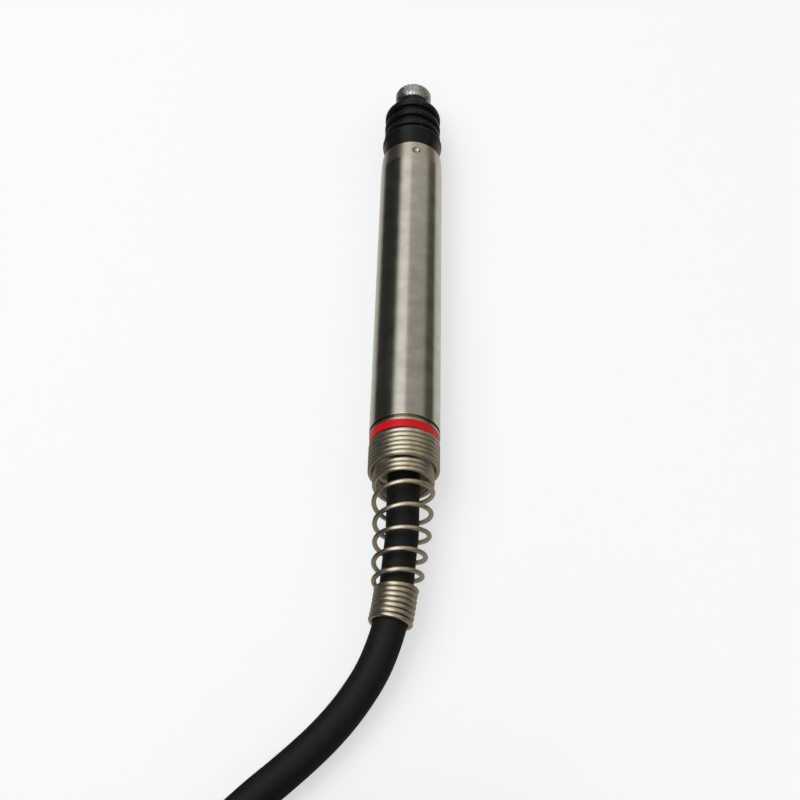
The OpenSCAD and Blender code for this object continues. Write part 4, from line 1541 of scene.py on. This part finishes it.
# Light of the studio by the turn from straight up towards +X, in degrees: level along the probe,
# farther up, and overhead. Each has a bright strip on the left, a grey one on the right, dark sides.
LEVEL_LIGHT: Stops = [
    (-180, "#282826"), (-46, "#282826"), (-30, "#E6E2D8"), (-5, "#E6E2D8"), (1, "#BCB7AE"),
    (58, "#B2ACA1"), (74, "#5C5A49"), (90, "#4E4C42"), (180, "#282826"),
]
RAISED_LIGHT: Stops = [
    (-180, "#282826"), (-46, "#282826"), (-30, "#E6E2D8"), (-5, "#E6E2D8"), (1, "#9B958B"),
    (56, "#958F84"), (72, "#48463B"), (90, "#4E4C42"), (180, "#282826"),
]
OVERHEAD_LIGHT: Stops = [
    (-180, "#2C2A25"), (-46, "#2C2A25"), (-30, "#F6F1E6"), (-4, "#F6F1E6"), (10, "#9A9386"),
    (52, "#7E776B"), (74, "#4A463D"), (180, "#2C2A25"),
]
# Tones of the cards beside the stem and the spring, by the place across them in millimetres.
STEM_TONES: Stops = [(-17, "#2E2D2A"), (-7, "#C8C4BA"), (14, "#C8C4BA"), (42, "#45433A")]
# The spring's card is darker: painted shade of the floor round the spring, which its wires reflect.
SPRING_SHADE_TONES: Stops = [(-17, "#3A3731"), (-4, "#8E887C"), (10, "#8E887C"), (42, "#3A3731")]


@dataclass
class Studio:
    """Pale floor, soft light with long strips and dark sides, and the camera."""

    white: str = "#FAFAFA"
    paper: str = "#9B9EA3"
    glow: str = "#C8C8C8"
    floor_side: float = 4000.0
    card_side: float = 4000.0
    card_height: float = 0.2
    card_reach: float = 60.0
    card_split: float = -26.0
    card_front: float = 2000.0
    card_rear: float = -400.0
    # Share of +Y in a direction at which a light starts to take over, and at which it has.
    raised_from: Point2 = (0.76, 0.66)
    overhead_from: Point2 = (0.56, 0.36)
    overhead: float = 1.8
    focal_px: float = 1293.77
    image_px: float = 800.0
    sensor_mm: float = 36.0
    near_mm: float = 1.0
    eye: Point3 = (0.196, -113.495, 121.27)
    pitch: float = 0.91273
    yaw: float = -0.00925
    roll: float = 0.0177

    def camera(self) -> None:
        """Make the camera at the photograph's place and angle."""
        data = bpy.data.cameras.new("camera")
        data.sensor_width = self.sensor_mm
        data.lens = self.sensor_mm * self.focal_px / self.image_px
        data.clip_start = self.near_mm * MM
        flat = math.cos(self.pitch)
        forward = Vector((math.sin(self.yaw) * flat, math.cos(self.yaw) * flat, -math.sin(self.pitch)))
        level = Vector((math.cos(self.yaw), -math.sin(self.yaw), 0))
        over = level.cross(forward)
        right = math.cos(self.roll) * level + math.sin(self.roll) * over
        up = -math.sin(self.roll) * level + math.cos(self.roll) * over
        turn = Matrix((right, up, -forward)).transposed().to_4x4()
        camera = bpy.data.objects.new("camera", data)
        camera.matrix_world = Matrix.Translation(Vector(self.eye) * MM) @ turn
        bpy.context.scene.collection.objects.link(camera)
        bpy.context.scene.camera = camera

    def build(self) -> None:
        """Make the floor, the cards, the world and the lamps."""
        self._floor()
        self._card("stem_card", self.card_split, self.card_front, STEM_TONES)
        # Darker card under the spring: painted shade of the floor, seen only in reflections.
        self._card("spring_shade_card", self.card_rear, self.card_split, SPRING_SHADE_TONES)
        self._world()
        self._lamp("key_lamp", place=(-350, 50, 550), side=500, power=2.2)
        self._lamp("fill_lamp", place=(450, -200, 600), side=700, power=0.7)

    def _lamp(self, name: str, place: Point3, side: float, power: float) -> None:
        """Make one soft square lamp that faces the probe.

        Args:
            name: Name of the lamp.
            place: Its place in millimetres.
            side: Length of its side.
            power: Its power in watts.
        """
        data = bpy.data.lights.new(name, "AREA")
        data.size = side * MM
        data.energy = power
        lamp = bpy.data.objects.new(name, data)
        lamp.location = Vector(place) * MM
        lamp.rotation_euler = (-Vector(place)).to_track_quat("-Z", "Y").to_euler()
        lamp.visible_glossy = False
        bpy.context.scene.collection.objects.link(lamp)

    @staticmethod
    def _sheet(
        name: str, x: Point2, y: Point2, height: float, material: bpy.types.Material
    ) -> bpy.types.Object:
        """Lay a flat sheet of the stage.

        Args:
            name: Name of the sheet.
            x: Its left and right edges in millimetres.
            y: Its rear and front edges.
            height: Its height above the ground.
            material: Its material.

        Returns:
            The new sheet.
        """
        corners = [(x[0], y[0]), (x[1], y[0]), (x[1], y[1]), (x[0], y[1])]
        sheet = piece_of(name, [(a * MM, b * MM, height * MM) for a, b in corners], [(0, 1, 2, 3)])
        sheet.data.materials.append(material)
        return sheet

    def _floor(self) -> None:
        """Make the pale floor, which keeps the probe's shadow."""
        material, tree = new_material("pale_floor")
        paper = add(tree, "ShaderNodeBsdfDiffuse", {"Color": linear(self.paper)})
        glow = add(tree, "ShaderNodeEmission", {"Color": linear(self.glow)})
        seen = add(tree, "ShaderNodeAddShader", {0: paper.outputs[0], 1: glow.outputs[0]})
        add(tree, "ShaderNodeOutputMaterial", {"Surface": seen.outputs[0]})
        half = self.floor_side / 2
        self._sheet("floor", (-half, half), (-half, half), 0.0, material)

    def _card(self, name: str, rear: float, front: float, tones: Stops) -> None:
        """Lay a card on the floor, dark towards its sides, which only reflections show.

        Args:
            name: Name of the card.
            rear: Its rear edge in millimetres.
            front: Its front edge.
            tones: Places across it in millimetres, each with its colour.
        """
        material, tree = new_material(name)
        reach = self.card_reach
        place = add(tree, "ShaderNodeTexCoord")
        split = add(tree, "ShaderNodeSeparateXYZ", {0: place.outputs["Object"]})
        share = add(
            tree,
            "ShaderNodeMapRange",
            {"Value": split.outputs["X"], "From Min": -reach * MM, "From Max": reach * MM},
        )
        ramp = add(tree, "ShaderNodeValToRGB", {"Fac": share.outputs["Result"]})
        fill(ramp.color_ramp, [((x + reach) / (2 * reach), colour) for x, colour in tones])
        tone = add(tree, "ShaderNodeEmission", {"Color": ramp.outputs["Color"]})
        add(tree, "ShaderNodeOutputMaterial", {"Surface": tone.outputs[0]})
        half = self.card_side / 2
        card = self._sheet(name, (-half, half), (rear, front), self.card_height, material)
        card.visible_camera = False
        card.visible_diffuse = False
        card.visible_transmission = False
        card.visible_shadow = False

    def _world(self) -> None:
        """Make the studio: strips of light above the probe, dark sides, white for the camera."""
        world = bpy.data.worlds.new("studio")
        world.use_nodes = True
        bpy.context.scene.world = world
        tree = world.node_tree
        tree.nodes.clear()
        place = add(tree, "ShaderNodeTexCoord")
        split = add(tree, "ShaderNodeSeparateXYZ", {0: place.outputs["Generated"]})
        angle = add(
            tree, "ShaderNodeMath", {0: split.outputs["X"], 1: split.outputs["Z"]}, operation="ARCTAN2"
        )
        turn = add(
            tree,
            "ShaderNodeMapRange",
            {"Value": angle.outputs[0], "From Min": -math.pi, "From Max": math.pi},
        )
        lights = []
        for stops in (LEVEL_LIGHT, RAISED_LIGHT, OVERHEAD_LIGHT):
            ramp = add(tree, "ShaderNodeValToRGB", {"Fac": turn.outputs["Result"]})
            fill(ramp.color_ramp, [((degrees + 180) / 360, colour) for degrees, colour in stops])
            lights.append(ramp.outputs["Color"])
        shown = lights[0]
        for light, (start, full) in zip(lights[1:], (self.raised_from, self.overhead_from)):
            share = add(
                tree,
                "ShaderNodeMapRange",
                {"Value": split.outputs["Y"], "From Min": start, "From Max": full},
            )
            mix = add(
                tree,
                "ShaderNodeMix",
                {MIX_SHARE: share.outputs["Result"], MIX_FIRST: shown, MIX_SECOND: light},
                data_type="RGBA",
            )
            shown = mix.outputs[MIX_RESULT]
        gain = add(
            tree,
            "ShaderNodeMapRange",
            {"Value": share.outputs["Result"], "To Min": 1.0, "To Max": self.overhead},
        )
        strips = add(tree, "ShaderNodeBackground", {"Color": shown, "Strength": gain.outputs["Result"]})
        plain = add(tree, "ShaderNodeBackground", {"Color": linear(self.white), "Strength": 1.0})
        path = add(tree, "ShaderNodeLightPath")
        view = add(
            tree,
            "ShaderNodeMixShader",
            {0: path.outputs["Is Camera Ray"], 1: strips.outputs[0], 2: plain.outputs[0]},
        )
        add(tree, "ShaderNodeOutputWorld", {"Surface": view.outputs[0]})


def main() -> None:
    """Build the probe round its frame, and report each piece."""
    logging.basicConfig(level=logging.INFO, format="%(message)s")
    for thing in list(bpy.data.objects):
        bpy.data.objects.remove(thing)
    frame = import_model()
    bpy.context.scene.view_settings.view_transform = "Standard"
    studio = Studio()
    studio.camera()
    lead = Lead()
    cable, length = lead.build()
    coil = StrainCoil().build()
    on_cable = [coil, lead.tie(), *Plug().build()]
    LOG.info("lead_cable is %.3f m long", length)
    Stem().build()
    ContactPoint().build()
    Gaiter().build()
    Inside().build(frame["nodes"])
    studio.build()
    bpy.context.view_layer.update()


if __name__ == "__main__":
    main()
